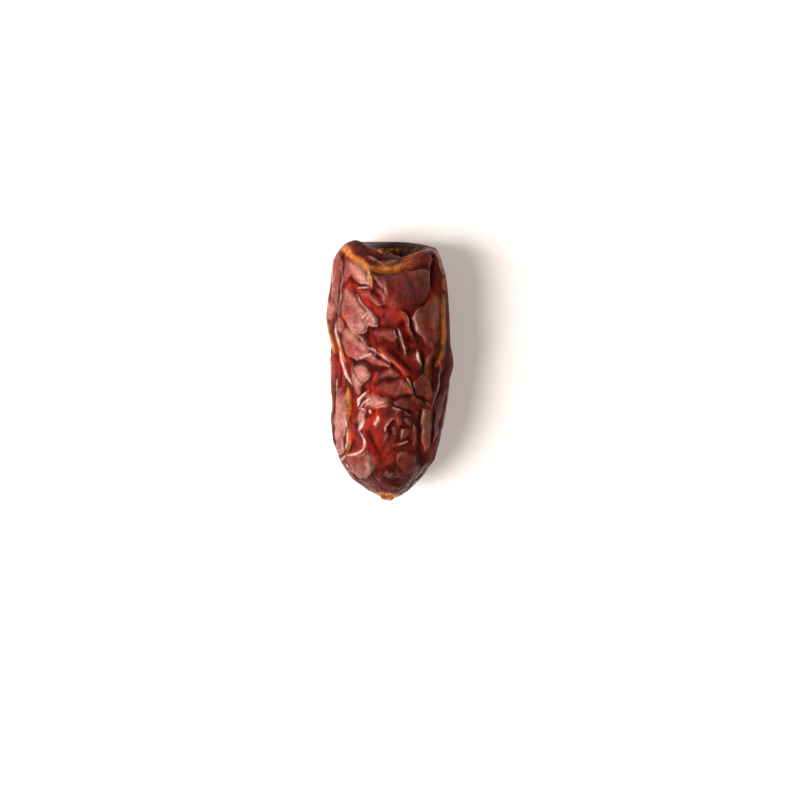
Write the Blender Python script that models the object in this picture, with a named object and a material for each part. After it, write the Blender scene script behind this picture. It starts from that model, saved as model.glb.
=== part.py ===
"""A dried piarom date lying on its side: the stem end towards +Y, the tip towards -Y, +Z up.

The fruit is one solid. Its skin is a sleeve of rings round the long axis, closed at the tip and at the
bottom of the hollow where the stem sat. Folds are laid on the skin as routes with a height on either
side, and the skin between them hangs from one to the next as a stretched film does.
"""

import math

import bpy
import numpy as np
from mathutils import Vector, noise

MM = 0.001

# Driving dimensions, in millimetres
STEM_END = 20.5
TIP_END = -20.85
HALF_WIDTH = 9.9
HALF_HEIGHT = 9.3
SECTION_POWER = 2.12
TIP_START = -4.5
TIP_POWERS = (2.2, 0.6)
STEM_START = 11.0
STEM_POWERS = (2.0, 0.15)
FLOOR_CUT = 0.45

# How much closer together the segments lie on the upper side than on the flanks
UPPER_CROWDING = 0.3

# The outline from above: a place along the axis, and how far the skin reaches to the left and the right
OUTLINE = (
    (20.4, 7.6, 7.0),
    (19.5, 8.4, 7.7),
    (17.9, 9.3, 8.4),
    (14.7, 9.7, 9.1),
    (11.4, 10.1, 9.4),
    (8.8, 10.4, 9.6),
    (6.5, 10.1, 9.7),
    (4.1, 9.5, 9.8),
    (1.7, 9.9, 10.3),
    (0.9, 9.8, 10.4),
    (-1.6, 9.8, 9.7),
    (-4.8, 9.6, 9.3),
    (-8.1, 9.6, 8.7),
    (-11.3, 9.3, 8.1),
    (-14.6, 8.1, 7.2),
    (-16.2, 7.2, 6.0),
    (-17.8, 6.1, 4.8),
    (-19.5, 3.7, 2.8),
    (-20.4, 1.8, 1.3),
)
OUTLINE_HEIGHT = 0.6
OUTLINE_SPREAD = 6.0
RIM_REACH = 7.4

# The stem end, in millimetres from the axis
HOLLOW_CENTRE = (1.5, 0.6)
HOLLOW_RADII = (4.4, 4.2)
HOLLOW_DEPTH = 3.4
END_TILT = 0.09
NOTCH_CENTRE = 1.2
NOTCH_WIDTH = 4.6
NOTCH_DEPTH = 1.9
LOBE_CENTRE = (-5.6, 3.5)
LOBE_SIZE = (2.6, 4.5)
LOBE_HEIGHT = 0.75

# The pale scar on the tip
SCAR_CENTRE = (-0.5, 0.8)
SCAR_RADIUS = 1.15
SCAR_HEIGHT = 0.35

# The mesh: the folds are worked out on a sleeve this many times finer
RINGS = 66
SEGMENTS = 88
FINER = 3
SOFTENINGS = 5

# How far the pull of a fold reaches, and how far apart the two sides of a step lie
REACH = 2.4
STEP_HALF = 0.2
HOLD = 0.2

# Folds on the upper side: (height left, height right) of the direction of travel, then (x, y) places
# as seen from above
UPPER_FOLDS = {
    "groove_left_shoulder": ((-0.45, -0.45), (-7.3, 18.7), (-7.9, 16.3), (-8.2, 12.8), (-8.5, 7.8)),
    "groove_left_flank": ((-0.6, -0.6), (-8.3, 5.7), (-7.1, 1.0), (-6.5, -1.3), (-6.3, -4.8), (-5.8, -7.9)),
    "groove_left_low": ((-0.35, -0.35), (-6.7, -8.1), (-6.8, -10.8), (-6.7, -13.3)),
    "hollow_far_left": ((-0.7, -0.7), (-8.9, 3.3), (-8.5, 1.0), (-8.4, -3.4)),
    "fin_far_left": ((0.45, 0.45), (-9.7, 11.4), (-10.2, 8.5), (-9.6, 5.7), (-8.9, 3.0)),
    "ridge_left_flank": ((0.38, 0.38), (-8.6, 7.8), (-8.4, 5.2), (-8.1, 3.0), (-7.6, 0.9), (-6.3, -2.4)),
    "band_under_lip": (
        (0.45, 0.45),
        (-7.1, 20.2),
        (-6.0, 18.4),
        (-4.7, 17.2),
        (-3.2, 16.3),
        (-1.3, 16.0),
        (0.8, 16.2),
        (2.4, 16.7),
        (4.1, 17.5),
        (7.0, 19.7),
    ),
    "fold_under_lip": ((-0.4, -0.4), (-2.3, 17.8), (-1.0, 17.3), (0.5, 16.9), (2.9, 17.7)),
    "fold_under_band": ((-0.35, -0.35), (-2.6, 15.2), (-0.8, 15.0), (2.4, 15.6), (4.5, 16.0)),
    "ridge_right": ((0.5, 0.5), (7.0, 19.5), (8.1, 17.8), (8.8, 12.7), (8.5, 6.5), (8.6, 3.9), (8.0, 1.8)),
    "groove_inside_ridge": ((-0.4, -0.4), (7.1, 18.2), (7.1, 16.0), (6.9, 13.7), (6.3, 11.6), (4.4, 9.1)),
    "pocket_right": ((-0.8, -0.8), (7.3, 2.5), (7.1, 0.4), (7.1, -1.9), (7.2, -3.9)),
    "ridge_by_pocket": ((0.35, 0.35), (7.8, 1.5), (8.1, -0.1), (8.0, -2.2), (7.5, -4.2)),
    "groove_right_flank": ((-0.7, -0.7), (9.3, 0.7), (8.4, -1.1), (8.1, -5.6), (7.2, -12.8)),
    "groove_right_low": ((-0.6, -0.6), (5.0, -4.8), (5.4, -7.8), (5.1, -13.3), (5.7, -15.9)),
    "valley_low": ((-0.55, -0.55), (-3.9, -9.4), (-3.1, -11.3), (-1.9, -13.3), (-1.1, -15.6)),
    "valley_upper_left": ((-0.45, -0.45), (-6.2, 13.4), (-5.0, 11.3), (-2.3, 7.8), (-1.1, 6.4)),
    "crease_upper_left": ((-0.4, -0.4), (-7.5, 14.8), (-6.5, 14.8), (-4.4, 13.4), (-3.4, 13.2)),
    "valley_hook": ((-0.65, -0.65), (1.7, 8.2), (2.3, 7.1), (2.7, 5.9), (3.3, 4.9), (3.9, 4.1)),
    "ridge_hook": ((0.42, 0.42), (1.7, 9.2), (2.8, 8.4), (3.1, 6.9), (3.3, 6.2), (4.0, 5.0)),
    "ridge_by_pillow": ((0.3, 0.3), (1.3, 6.6), (1.7, 5.5), (2.0, 4.4), (2.3, 3.3), (2.5, 2.4)),
    "crease_pillow_left": ((-0.4, -0.4), (-3.2, 6.4), (-3.8, 5.4), (-3.7, 4.4), (-3.1, 3.5)),
    "crease_pillow_top": ((-0.35, -0.35), (-3.2, 6.5), (-2.2, 6.7), (-0.9, 6.8), (0.5, 6.7), (1.0, 6.4)),
    "crease_pillow_right": ((-0.35, -0.35), (1.0, 6.4), (1.2, 5.0), (1.8, 3.7), (2.6, 2.3)),
    "crease_pillow_foot": ((-0.35, -0.35), (-2.0, 3.6), (-1.8, 4.1), (-1.1, 4.3), (0.5, 4.2), (1.2, 4.3)),
    "crease_middle": ((-0.4, -0.4), (-6.2, 1.5), (-4.7, 1.4), (-3.6, 0.7), (-2.1, 0.0), (-0.3, 0.2)),
    "edge_slanted": ((-0.35, 0.3), (-3.1, 3.3), (-1.9, 2.0), (-0.5, 1.1), (1.0, 0.0)),
    "ridge_slanted": ((0.3, 0.3), (-1.9, 3.3), (0.0, 1.7), (1.6, 0.4), (2.8, -0.8)),
    "valley_slanted": ((-0.4, -0.4), (-0.6, 3.6), (0.8, 2.6), (1.9, 1.5), (3.4, -0.1), (4.2, -1.6)),
    "ridge_right_middle": ((0.4, 0.4), (4.4, 3.1), (4.5, 1.8), (5.0, 0.5)),
    "crease_right_middle": ((-0.35, -0.35), (4.8, 3.0), (5.6, 0.4), (5.6, -0.8), (4.9, -1.4)),
    "edge_diamond_right": ((-0.4, 0.4), (2.8, -1.4), (3.2, -2.4), (4.2, -4.3), (5.5, -5.2), (6.5, -5.6)),
    "crease_wing_upper": ((-0.35, -0.35), (-5.5, -5.7), (-4.7, -5.0), (-3.7, -4.4)),
    "crease_low_slab": ((-0.35, -0.35), (0.6, -5.1), (1.4, -5.9), (3.1, -6.5), (4.1, -7.1)),
    "ridge_under_wing": ((0.35, 0.35), (-1.8, -7.2), (-1.9, -8.2), (-2.4, -9.2)),
    "ridge_crumple": ((0.32, 0.32), (0.7, -7.7), (0.3, -7.8), (-0.2, -8.5), (-0.6, -8.9), (-0.8, -9.8)),
    "crease_crumple": ((-0.28, -0.28), (1.7, -8.9), (2.2, -9.2), (2.8, -9.0), (3.3, -9.1), (3.8, -9.6)),
    "crease_crumple_low": ((-0.3, -0.3), (0.8, -11.6), (1.7, -11.5), (2.8, -11.2), (3.6, -10.4)),
    "ridge_crumple_low": ((0.28, 0.28), (1.3, -11.9), (2.0, -11.8), (3.0, -11.4)),
    "rim_hooked": ((0.42, 0.42), (-4.7, -10.0), (-3.9, -11.8), (-5.5, -13.3), (-7.0, -13.6)),
    "groove_far_left_low": ((-0.35, -0.35), (-8.8, -1.3), (-9.2, -3.9), (-9.2, -6.3), (-8.8, -11.3)),
}

# Folds on the flanks and the underside: the same two heights, then (y, degrees) places, where 0 degrees
# is +X, 90 is up and 270 is down
ROUND_FOLDS = {
    "right_high": ((-0.5, -0.5), (16.5, 0), (9, -7), (0, -12), (-9, -5), (-15, 4)),
    "right_middle": ((0.4, 0.4), (17.5, -20), (9, -27), (-2, -23), (-11, -29), (-16, -22)),
    "right_low": ((-0.55, -0.55), (16, -38), (7, -46), (-3, -41), (-13, -48)),
    "right_under": ((-0.3, 0.3), (17, -58), (10, -63), (3, -60), (-3, -66)),
    "left_high": ((-0.5, -0.5), (15, 176), (7, 183), (-2, 179), (-10, 186), (-15, 181)),
    "left_middle": ((0.4, 0.4), (17.5, 198), (8, 204), (-1, 200), (-12, 207)),
    "left_low": ((-0.55, -0.55), (16, 219), (8, 226), (-4, 221), (-14, 228)),
    "left_under": ((0.3, -0.3), (17, 240), (10, 246), (1, 243), (-5, 249)),
    "under_stem": ((-0.4, -0.4), (18.5, 262), (14, 266), (10.5, 272)),
    "under_stem_right": ((-0.35, -0.35), (18.5, 288), (14.5, 285), (11, 291)),
    "under_tip": ((-0.4, -0.4), (-9.5, 268), (-13.5, 262), (-18, 266)),
    "under_tip_right": ((-0.35, -0.35), (-10, 294), (-14.5, 300), (-18.5, 296)),
    "tip_right": ((-0.35, -0.35), (-14.5, 28), (-17.5, 24), (-19.8, 30)),
    "tip_left": ((-0.35, -0.35), (-14.5, 152), (-17.5, 158), (-19.8, 150)),
    "tip_low_left": ((-0.35, -0.35), (-13, 212), (-17, 218), (-19.6, 212)),
}

# Slabs of skin on the upper side that stand above the creases: the direction in which a slab rises, in
# degrees from +X seen from above, its rise in millimetres, and its corners as (x, y) places
SLABS = {
    "shoulder_left": (
        (-50, 0.45),
        (-7.5, 17.3), (-6.4, 17.7), (-5.3, 17.1), (-4.2, 16), (-3.7, 14.9), (-3.5, 13.4), (-5.3, 14.1),
        (-6.5, 14.9), (-7.5, 14.1), (-7.9, 14.1), (-7.8, 15.7),
    ),
    "wedge_upper_left": (
        (-45, 0.4),
        (-5.5, 12.8), (-3.7, 12.9), (-2.6, 12.3), (-1.4, 11.1), (-1.2, 10.1), (-2.1, 10.3),
        (-3.4, 11.1), (-4.8, 11.9),
    ),
    "flap_by_strand": ((20, 0.3), (-2.2, 13.2), (-1.2, 12.8), (-0.7, 10.4), (-1.2, 9.6), (-1.5, 11)),
    "slab_left": (
        (-25, 0.6),
        (-8, 13.2), (-6.4, 13.9), (-5.9, 12.7), (-5, 10.9), (-4, 9.8), (-4.7, 9.3), (-5.1, 8.2),
        (-5.2, 6.7), (-6.4, 7.2), (-7.5, 8.2), (-8.1, 9.3), (-8.1, 11.7),
    ),
    "fan_left": (
        (-40, 0.55),
        (-4.7, 9.3), (-4, 10.1), (-3.1, 9.3), (-2.2, 8.2), (-1.9, 7), (-2.7, 6.8), (-4, 7.2), (-5, 7.6),
    ),
    "slab_left_middle": (
        (-30, 0.55),
        (-7.9, 6.8), (-6.9, 6.8), (-5.3, 5.4), (-4, 4.4), (-3, 3), (-3.7, 2.4), (-5.6, 1.5),
        (-7.1, 2.4), (-7.8, 4.5),
    ),
    "triangle_middle": (
        (25, 0.45),
        (-4.6, 1.7), (-2.8, 3), (-1.4, 2.4), (0.2, 1.2), (0.2, 0.5), (-1.3, 0.5), (-2.7, 0.8),
        (-3.7, 1.3),
    ),
    "pillow_small": (
        (0, 0.35),
        (-2.2, 6.1), (-1.4, 6.5), (0.8, 6.5), (1.3, 5.3), (1, 4.5), (-0.5, 4.7), (-2.1, 5.5),
    ),
    "panel_front": (
        (90, 0.25),
        (-2.7, 15.2), (-0.5, 15), (2.7, 15.7), (6.4, 15.9), (6.7, 13.2), (6.1, 11.4), (4, 9.6),
        (2.1, 9.3), (-0.5, 10.1), (-0.8, 12.5), (-2.1, 13.8),
    ),
    "slab_right": (
        (180, 0.35),
        (7.3, 12.4), (8, 13), (8, 9.3), (7.6, 4.5), (6.4, 3.4), (4.5, 6), (3.5, 8.4), (4.3, 9.4),
        (5.8, 10.4),
    ),
    "panel_far_left": (
        (0, 0.3),
        (-9.1, 17.7), (-8.1, 19.1), (-7.8, 17.3), (-7.9, 12.5), (-8.4, 8.5), (-9.9, 10.9), (-9.7, 13.2),
        (-9.4, 15.3),
    ),
    "diamond_left": (
        (-15, 0.55),
        (-6.1, 0.5), (-4.7, 0.9), (-3.7, 0), (-3.2, -0.8), (-3.6, -1.7), (-4.1, -2), (-4.9, -2.6),
        (-5.4, -1.7), (-5.8, -0.6),
    ),
    "wing_left": (
        (-10, 0.6),
        (-5.3, -5.8), (-4.5, -4.5), (-3.6, -3.9), (-2.4, -3.7), (-1.3, -4.3), (-0.5, -5), (-0.5, -5.7),
        (-1.3, -6), (-2.6, -6.1), (-4.1, -6),
    ),
    "flap_left": (
        (0, 0.5),
        (-5.4, -6.3), (-4, -6.3), (-4, -7.4), (-4.5, -8.7), (-4.8, -10), (-5.2, -9.4), (-5.5, -7.8),
    ),
    "panel_low_left": (
        (-10, 0.35),
        (-9.1, -3), (-8, -2.7), (-7.3, -4.2), (-7.1, -6.1), (-7.1, -7.8), (-7.3, -10.7), (-7.1, -13),
        (-7.8, -13.9), (-8.7, -11), (-9.2, -8.4), (-9.2, -5.8),
    ),
    "facet_low_left": (
        (-20, 0.5),
        (-7.1, -13.8), (-4.7, -13.3), (-3.7, -13), (-3.1, -14.3), (-2.6, -15.6), (-3.2, -16.9),
        (-4.7, -17.5), (-5.5, -16.9), (-6.4, -15.1),
    ),
    "pillow_middle": (
        (20, 0.35),
        (-2.5, -2.8), (-1.1, -1.9), (0.6, -1.5), (2.1, -1.5), (3.3, -2.5), (3.7, -3.6), (2.3, -4),
        (0.6, -4.4), (-1.1, -3.7),
    ),
    "diamond_right": (
        (150, 0.35),
        (3.9, -2), (5.5, -0.6), (6.7, -1.6), (7, -3.4), (6.5, -4.9), (4.5, -4.2), (3.9, -3.1),
    ),
    "slab_low_right": (
        (200, 0.3),
        (0.7, -5), (2.1, -4.4), (3.4, -4), (4.2, -5), (4.4, -6.7), (3.4, -6.5), (1, -5.7),
    ),
    "pillow_upper_middle": (
        (10, 0.3),
        (-1.3, -0.3), (0.3, 0.4), (1.3, 0.1), (1.5, -0.9), (0.3, -1.3), (-1, -1.4), (-1.9, -1.1),
    ),
    "panel_low_centre": (
        (120, 0.25),
        (1.1, -13.4), (2.9, -13.1), (4.4, -13.8), (4.7, -16.2), (2.9, -16.8), (1.3, -15.6),
    ),
    "crumple_right": (
        (200, 0.25),
        (2.4, -8), (3.2, -7.7), (4.1, -7.6), (4, -8.4), (3.3, -8.8), (2.7, -8.5),
    ),
    "crumple_square": ((180, 0.2), (0.3, -9), (1.6, -8.9), (1.6, -10.2), (0.5, -10.4)),
    "crumple_low": (
        (160, 0.28),
        (1.8, -9.6), (2.7, -9.3), (3.6, -9.5), (3.4, -10.3), (2.8, -11), (1.9, -11.2), (1.7, -10.4),
    ),
    "strip_right": (
        (180, 0.3),
        (5.4, -6.1), (7, -6.5), (7.6, -8.4), (7.3, -11.7), (6, -13.3), (5.4, -10.7),
    ),
    "edge_right": (
        (180, 0.3),
        (8, -5), (8.9, -3.2), (9.4, -3), (9.3, -6.1), (8.5, -9.7), (7.8, -12), (8, -8.4),
    ),
}
SLAB_EDGE = (-0.1, 0.2)
SLAB_FOOT = 0.5
SLAB_LOW = 0.08
SLAB_WOBBLE = 0.12

# The shrunken skin away from the upper side: plates with creases between them, long way along the fruit.
# Each row is the plates' width, how many times longer they are, the creases' depth, how far a plate leans
# and a seed
PLATES = (
    (4.6, 2.3, 0.34, 0.75, 3),
    (2.3, 1.8, 0.16, 0.34, 8),
)
# The noise that bends the plates is seeded, so that they come out the same every time
NOISE_SEED = 1795623924
PLATE_WARP = (0.16, 2.2)
CREASE_WIDTH = 0.32
UPPER_CALM = 0.6

# The underside meets the floor here, so its folds fade towards this place along the axis
REST_PLACE = (0.5, 7.5)

SKIN_COLOR = (0.19, 0.035, 0.02, 1.0)
SKIN_ROUGHNESS = 0.4


def smooth_step(low, high, value):
    share = np.clip((value - low) / (high - low), 0.0, 1.0)
    return share * share * (3.0 - 2.0 * share)


def bump(value, centre, width):
    return np.exp(-(((value - centre) / width) ** 2))


def outline(count):
    """Places along the axis from the stem end to the tip, and the girth there as a share of the widest."""
    stem_a, stem_b = STEM_POWERS
    tip_a, tip_b = TIP_POWERS
    cap = np.linspace(0.0, 0.94, 200)
    cap_y = STEM_START + (STEM_END - STEM_START) * (1.0 - cap ** (1.0 / stem_b)) ** (1.0 / stem_a)
    body_y = np.linspace(cap_y[-1], TIP_START - 5.0, 300)[1:]
    stem_share = np.clip((body_y - STEM_START) / (STEM_END - STEM_START), 0.0, 1.0)
    tip_share = np.clip((TIP_START - body_y) / (TIP_START - TIP_END), 0.0, 1.0)
    body = (1.0 - stem_share**stem_a) ** stem_b * (1.0 - tip_share**tip_a) ** tip_b
    tip = np.linspace(body[-1], 0.0, 300)[1:]
    tip_y = TIP_START - (TIP_START - TIP_END) * (1.0 - tip ** (1.0 / tip_b)) ** (1.0 / tip_a)
    girth = np.concatenate([cap, body, tip])
    along = np.concatenate([cap_y, body_y, tip_y])
    travel = np.concatenate([[0.0], np.cumsum(np.hypot(np.diff(girth) * HALF_WIDTH, np.diff(along)))])
    even = np.linspace(0.0, travel[-1], count)
    return np.interp(even, travel, along), np.interp(even, travel, girth)


def segment_angles(segments):
    """The angles round the fruit, closer together on the upper side."""
    even = np.arange(segments) * (2.0 * math.pi / segments)
    return even + UPPER_CROWDING * np.cos(even)


def smooth_fruit(rings, segments):
    """The fruit before any folds, as points (rings, segments, 3)."""
    along, girth = outline(rings)
    angle = segment_angles(segments)
    power = 2.0 / SECTION_POWER
    across = np.sign(np.cos(angle)) * np.abs(np.cos(angle)) ** power
    up = np.sign(np.sin(angle)) * np.abs(np.sin(angle)) ** power
    g = girth[:, None]
    y = along[:, None] + 0.0 * angle[None, :]
    x = HALF_WIDTH * g * across[None, :]
    z = HALF_HEIGHT * g * up[None, :]

    # The stem end leans back, dips in the middle of its upper lip and stands higher at the left
    upper = 0.5 + 0.5 * np.tanh(z / 3.0)
    notch = bump(x, NOTCH_CENTRE, NOTCH_WIDTH) * upper * smooth_step(0.0, 0.7, g)
    lobe = bump(x, LOBE_CENTRE[0], LOBE_SIZE[0]) * bump(z, LOBE_CENTRE[1], LOBE_SIZE[1])
    y = y - smooth_step(6.0, 18.5, y) * (END_TILT * z + NOTCH_DEPTH * notch - LOBE_HEIGHT * lobe)

    # The hollow where the stem sat
    reach = np.hypot((x - HOLLOW_CENTRE[0]) / HOLLOW_RADII[0], (z - HOLLOW_CENTRE[1]) / HOLLOW_RADII[1])
    y = y - smooth_step(14.0, 17.0, y) * HOLLOW_DEPTH * (1.0 - smooth_step(0.45, 1.12, reach))

    # The scar on the tip
    reach = np.hypot(x - SCAR_CENTRE[0], z - SCAR_CENTRE[1]) / SCAR_RADIUS
    y = y - smooth_step(-17.0, -19.5, y) * SCAR_HEIGHT * (1.0 - smooth_step(0.7, 1.1, reach))
    return np.stack([x, y, z], axis=2)


def normals_of(points):
    around = np.roll(points, -1, axis=1) - np.roll(points, 1, axis=1)
    along = np.empty_like(points)
    along[1:-1] = points[2:] - points[:-2]
    along[0] = points[1] - points[0]
    along[-1] = points[-1] - points[-2]
    normals = np.cross(around, along)
    normals /= np.maximum(np.linalg.norm(normals, axis=2, keepdims=True), 1e-9)
    normals[0] = (0.0, 1.0, 0.0)
    normals[-1] = (0.0, -1.0, 0.0)
    return normals


def smooth_curve(places, step):
    """A curve through every place, with a point about every step."""
    points = np.array(places, float)
    points = np.vstack([2 * points[0] - points[1], points, 2 * points[-1] - points[-2]])
    pieces = []
    for before, start, stop, after in zip(points, points[1:], points[2:], points[3:]):
        count = max(2, int(np.linalg.norm(stop - start) / step) + 1)
        t = np.linspace(0.0, 1.0, count, endpoint=False)[:, None]
        bend = 2 * before - 5 * start + 4 * stop - after
        turn = 3 * start - before - 3 * stop + after
        pieces.append(start + 0.5 * ((stop - before) * t + bend * t**2 + turn * t**3))
    pieces.append(points[-2][None, :])
    return np.vstack(pieces)


class Skin:
    """The skin rolled out flat: one height for every ring and segment of the smooth fruit."""

    def __init__(self, points):
        self.points = points
        self.normals = normals_of(points)
        self.rings, self.segments = points.shape[:2]
        around = np.linalg.norm(np.roll(points, -1, axis=1) - points, axis=2)
        along = np.linalg.norm(points[1:] - points[:-1], axis=2).mean(axis=1)
        self.wide = np.maximum(around, 0.02)
        self.long = np.maximum(np.append(along, along[-1]), 0.02)[:, None]
        self.angles = segment_angles(self.segments)
        self.seen = (self.normals[:, :, 2] > 0.02) & (points[:, :, 2] > -1.0)
        self.weight = np.zeros((self.rings, self.segments))
        self.value = np.zeros((self.rings, self.segments))

    def cell_above(self, x, y):
        """The ring and segment that show at (x, y) from above."""
        gap = (self.points[:, :, 0] - x) ** 2 + (self.points[:, :, 1] - y) ** 2
        return np.unravel_index(np.argmin(np.where(self.seen, gap, 1e6)), gap.shape)

    def cell_round(self, y, degrees):
        """The ring and segment at a place along the axis and an angle round it."""
        angles = np.append(self.angles, self.angles[0] + 2.0 * math.pi)
        turn = (math.radians(degrees) - angles[0]) % (2.0 * math.pi) + angles[0]
        segment = np.interp(turn, angles, np.arange(self.segments + 1))
        column = self.points[:, int(segment) % self.segments, 1]
        outside = np.arange(self.rings) >= self.rings * 0.12
        return np.argmin(np.where(outside, np.abs(column - y), 1e6)), segment

    def beside(self, cells, offset):
        """The cells moved sideways by an offset in millimetres, to the left of the direction of travel."""
        ring = np.clip(cells[:, 0].astype(int), 0, self.rings - 1)
        segment = cells[:, 1].astype(int) % self.segments
        wide, long = self.wide[ring, segment], self.long[ring, 0]
        step = np.gradient(cells, axis=0)
        down, left = step[:, 0] * long, step[:, 1] * wide
        length = np.maximum(np.hypot(down, left), 1e-9)
        return cells + offset * np.stack([left / length / long, -down / length / wide], axis=1)

    def press(self, cells, heights):
        """Asks the skin for these heights at these cells, spread over the four corners of each."""
        ring = np.floor(cells[:, 0]).astype(int)
        segment = np.floor(cells[:, 1]).astype(int)
        part = cells - np.floor(cells)
        for ring_step, ring_share in ((0, 1.0 - part[:, 0]), (1, part[:, 0])):
            for segment_step, segment_share in ((0, 1.0 - part[:, 1]), (1, part[:, 1])):
                at = (
                    np.clip(ring + ring_step, 0, self.rings - 1),
                    (segment + segment_step) % self.segments,
                )
                share = ring_share * segment_share
                np.add.at(self.weight, at, share)
                np.add.at(self.value, at, share * heights)

    def fold(self, heights, cells):
        """Lays one fold along a route; unequal heights make a step."""
        route = smooth_curve(cells, 0.35)
        share = np.linspace(0.0, 1.0, len(route))
        taper = np.clip(np.minimum(share, 1.0 - share) / 0.18, 0.0, 1.0) ** 0.7
        left, right = heights
        if left == right:
            self.press(route, left * taper)
            return
        self.press(self.beside(route, STEP_HALF), left * taper)
        self.press(self.beside(route, -STEP_HALF), right * taper)

    def settle(self, turns):
        """The heights once the film has come to rest on its folds and sunk back between them."""
        hold = self.weight / (HOLD + self.weight)
        target = self.value / np.maximum(self.weight, 1e-9)
        pull_wide, pull_long = 1.0 / self.wide**2, 1.0 / self.long**2
        total = 2.0 * pull_wide + 2.0 * pull_long + 1.0 / REACH**2
        heights = np.zeros((self.rings, self.segments))
        for _ in range(turns):
            sides = np.roll(heights, 1, axis=1) + np.roll(heights, -1, axis=1)
            ends = np.vstack([heights[:1], heights[:-1]]) + np.vstack([heights[1:], heights[-1:]])
            free = (pull_wide * sides + pull_long * ends) / total
            heights = (1.0 - hold) * free + hold * target
        return heights

    def slabs(self):
        """How high the slabs stand at every ring and segment."""
        x, y = self.points[:, :, 0], self.points[:, :, 1]
        x, y = (
            x + SLAB_WOBBLE * np.sin(2.1 * y + 1.3 * np.sin(1.7 * x)),
            y + SLAB_WOBBLE * np.sin(2.3 * x + 1.1 * np.sin(1.9 * y)),
        )
        heights = np.zeros((self.rings, self.segments))
        for (degrees, rise), *corners in SLABS.values():
            corners = np.array(corners)
            uphill = np.array([math.cos(math.radians(degrees)), math.sin(math.radians(degrees))])
            reach = corners @ uphill
            climb = x * uphill[0] + y * uphill[1] - reach.min()
            share = np.clip(climb / (reach.max() - reach.min()), 0.0, 1.0)
            depth = inside_depth(corners, x, y)
            step = smooth_step(SLAB_EDGE[0], SLAB_EDGE[1] + SLAB_FOOT * (1.0 - share), depth)
            heights = np.maximum(heights, (SLAB_LOW + rise * share) * step)
        return np.where(self.seen, heights, 0.0)


def inside_depth(corners, x, y):
    """Distance to the outline of a polygon, positive inside it."""
    gap = np.full(x.shape, 1e9)
    inside = np.zeros(x.shape, bool)
    for (ax, ay), (bx, by) in zip(corners, np.roll(corners, -1, axis=0)):
        across, along = bx - ax, by - ay
        t = np.clip(((x - ax) * across + (y - ay) * along) / (across**2 + along**2), 0.0, 1.0)
        gap = np.minimum(gap, np.hypot(x - ax - t * across, y - ay - t * along))
        crosses = (ay > y) != (by > y)
        level = ax + (y - ay) * across / np.where(along == 0.0, 1e-9, along)
        inside ^= crosses & (x < level)
    return np.where(inside, gap, -gap)


def plates(points, width, longer, seed):
    """For every point, 0 in a crease between plates up to 1 on top of one, and how its plate leans there."""
    noise.seed_set(NOISE_SEED)
    shift = Vector((7.31, 3.17, 5.77)) * seed
    crease = np.zeros(points.shape[:2])
    lean = np.zeros(points.shape[:2])
    for at in np.ndindex(crease.shape):
        place = Vector(points[at])
        place += noise.noise_vector(place * PLATE_WARP[0] + shift) * PLATE_WARP[1]
        place = Vector((place.x / width, place.y / width / longer, place.z / width)) + shift
        distances, centres = noise.voronoi(place)
        crease[at] = distances[1] - distances[0]
        lean[at] = (place - centres[0]).dot(noise.noise_vector(centres[0] * 3.7 + shift))
    return smooth_step(0.0, CREASE_WIDTH, crease), lean


def to_outline(points):
    """Moves each flank in or out until the skin reaches as far as the outline says."""
    along, *sides = np.array(OUTLINE[::-1]).T
    rows = np.arange(len(points))
    near_middle = bump(points[:, :, 2], OUTLINE_HEIGHT, OUTLINE_SPREAD)
    for sign, wanted in zip((-1.0, 1.0), sides):
        reach = sign * points[:, :, 0]
        widest = reach.argmax(axis=1)
        far = reach[rows, widest]
        y = points[rows, widest, 1]
        counts = (far > 2.0) & (np.maximum.accumulate(far) > RIM_REACH)
        change = np.interp(rows, rows[counts], np.interp(y, along, wanted)[counts] / far[counts]) - 1.0
        share = smooth_step(0.0, 0.6, reach / HALF_WIDTH) * near_middle
        points[:, :, 0] *= 1.0 + change[:, None] * share


def softened(heights):
    """Each height blended with its neighbours."""
    heights = 0.5 * heights + 0.25 * (np.roll(heights, 1, axis=1) + np.roll(heights, -1, axis=1))
    ends = np.vstack([heights[:1], heights[:-1]]) + np.vstack([heights[1:], heights[-1:]])
    return 0.5 * heights + 0.25 * ends


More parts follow.
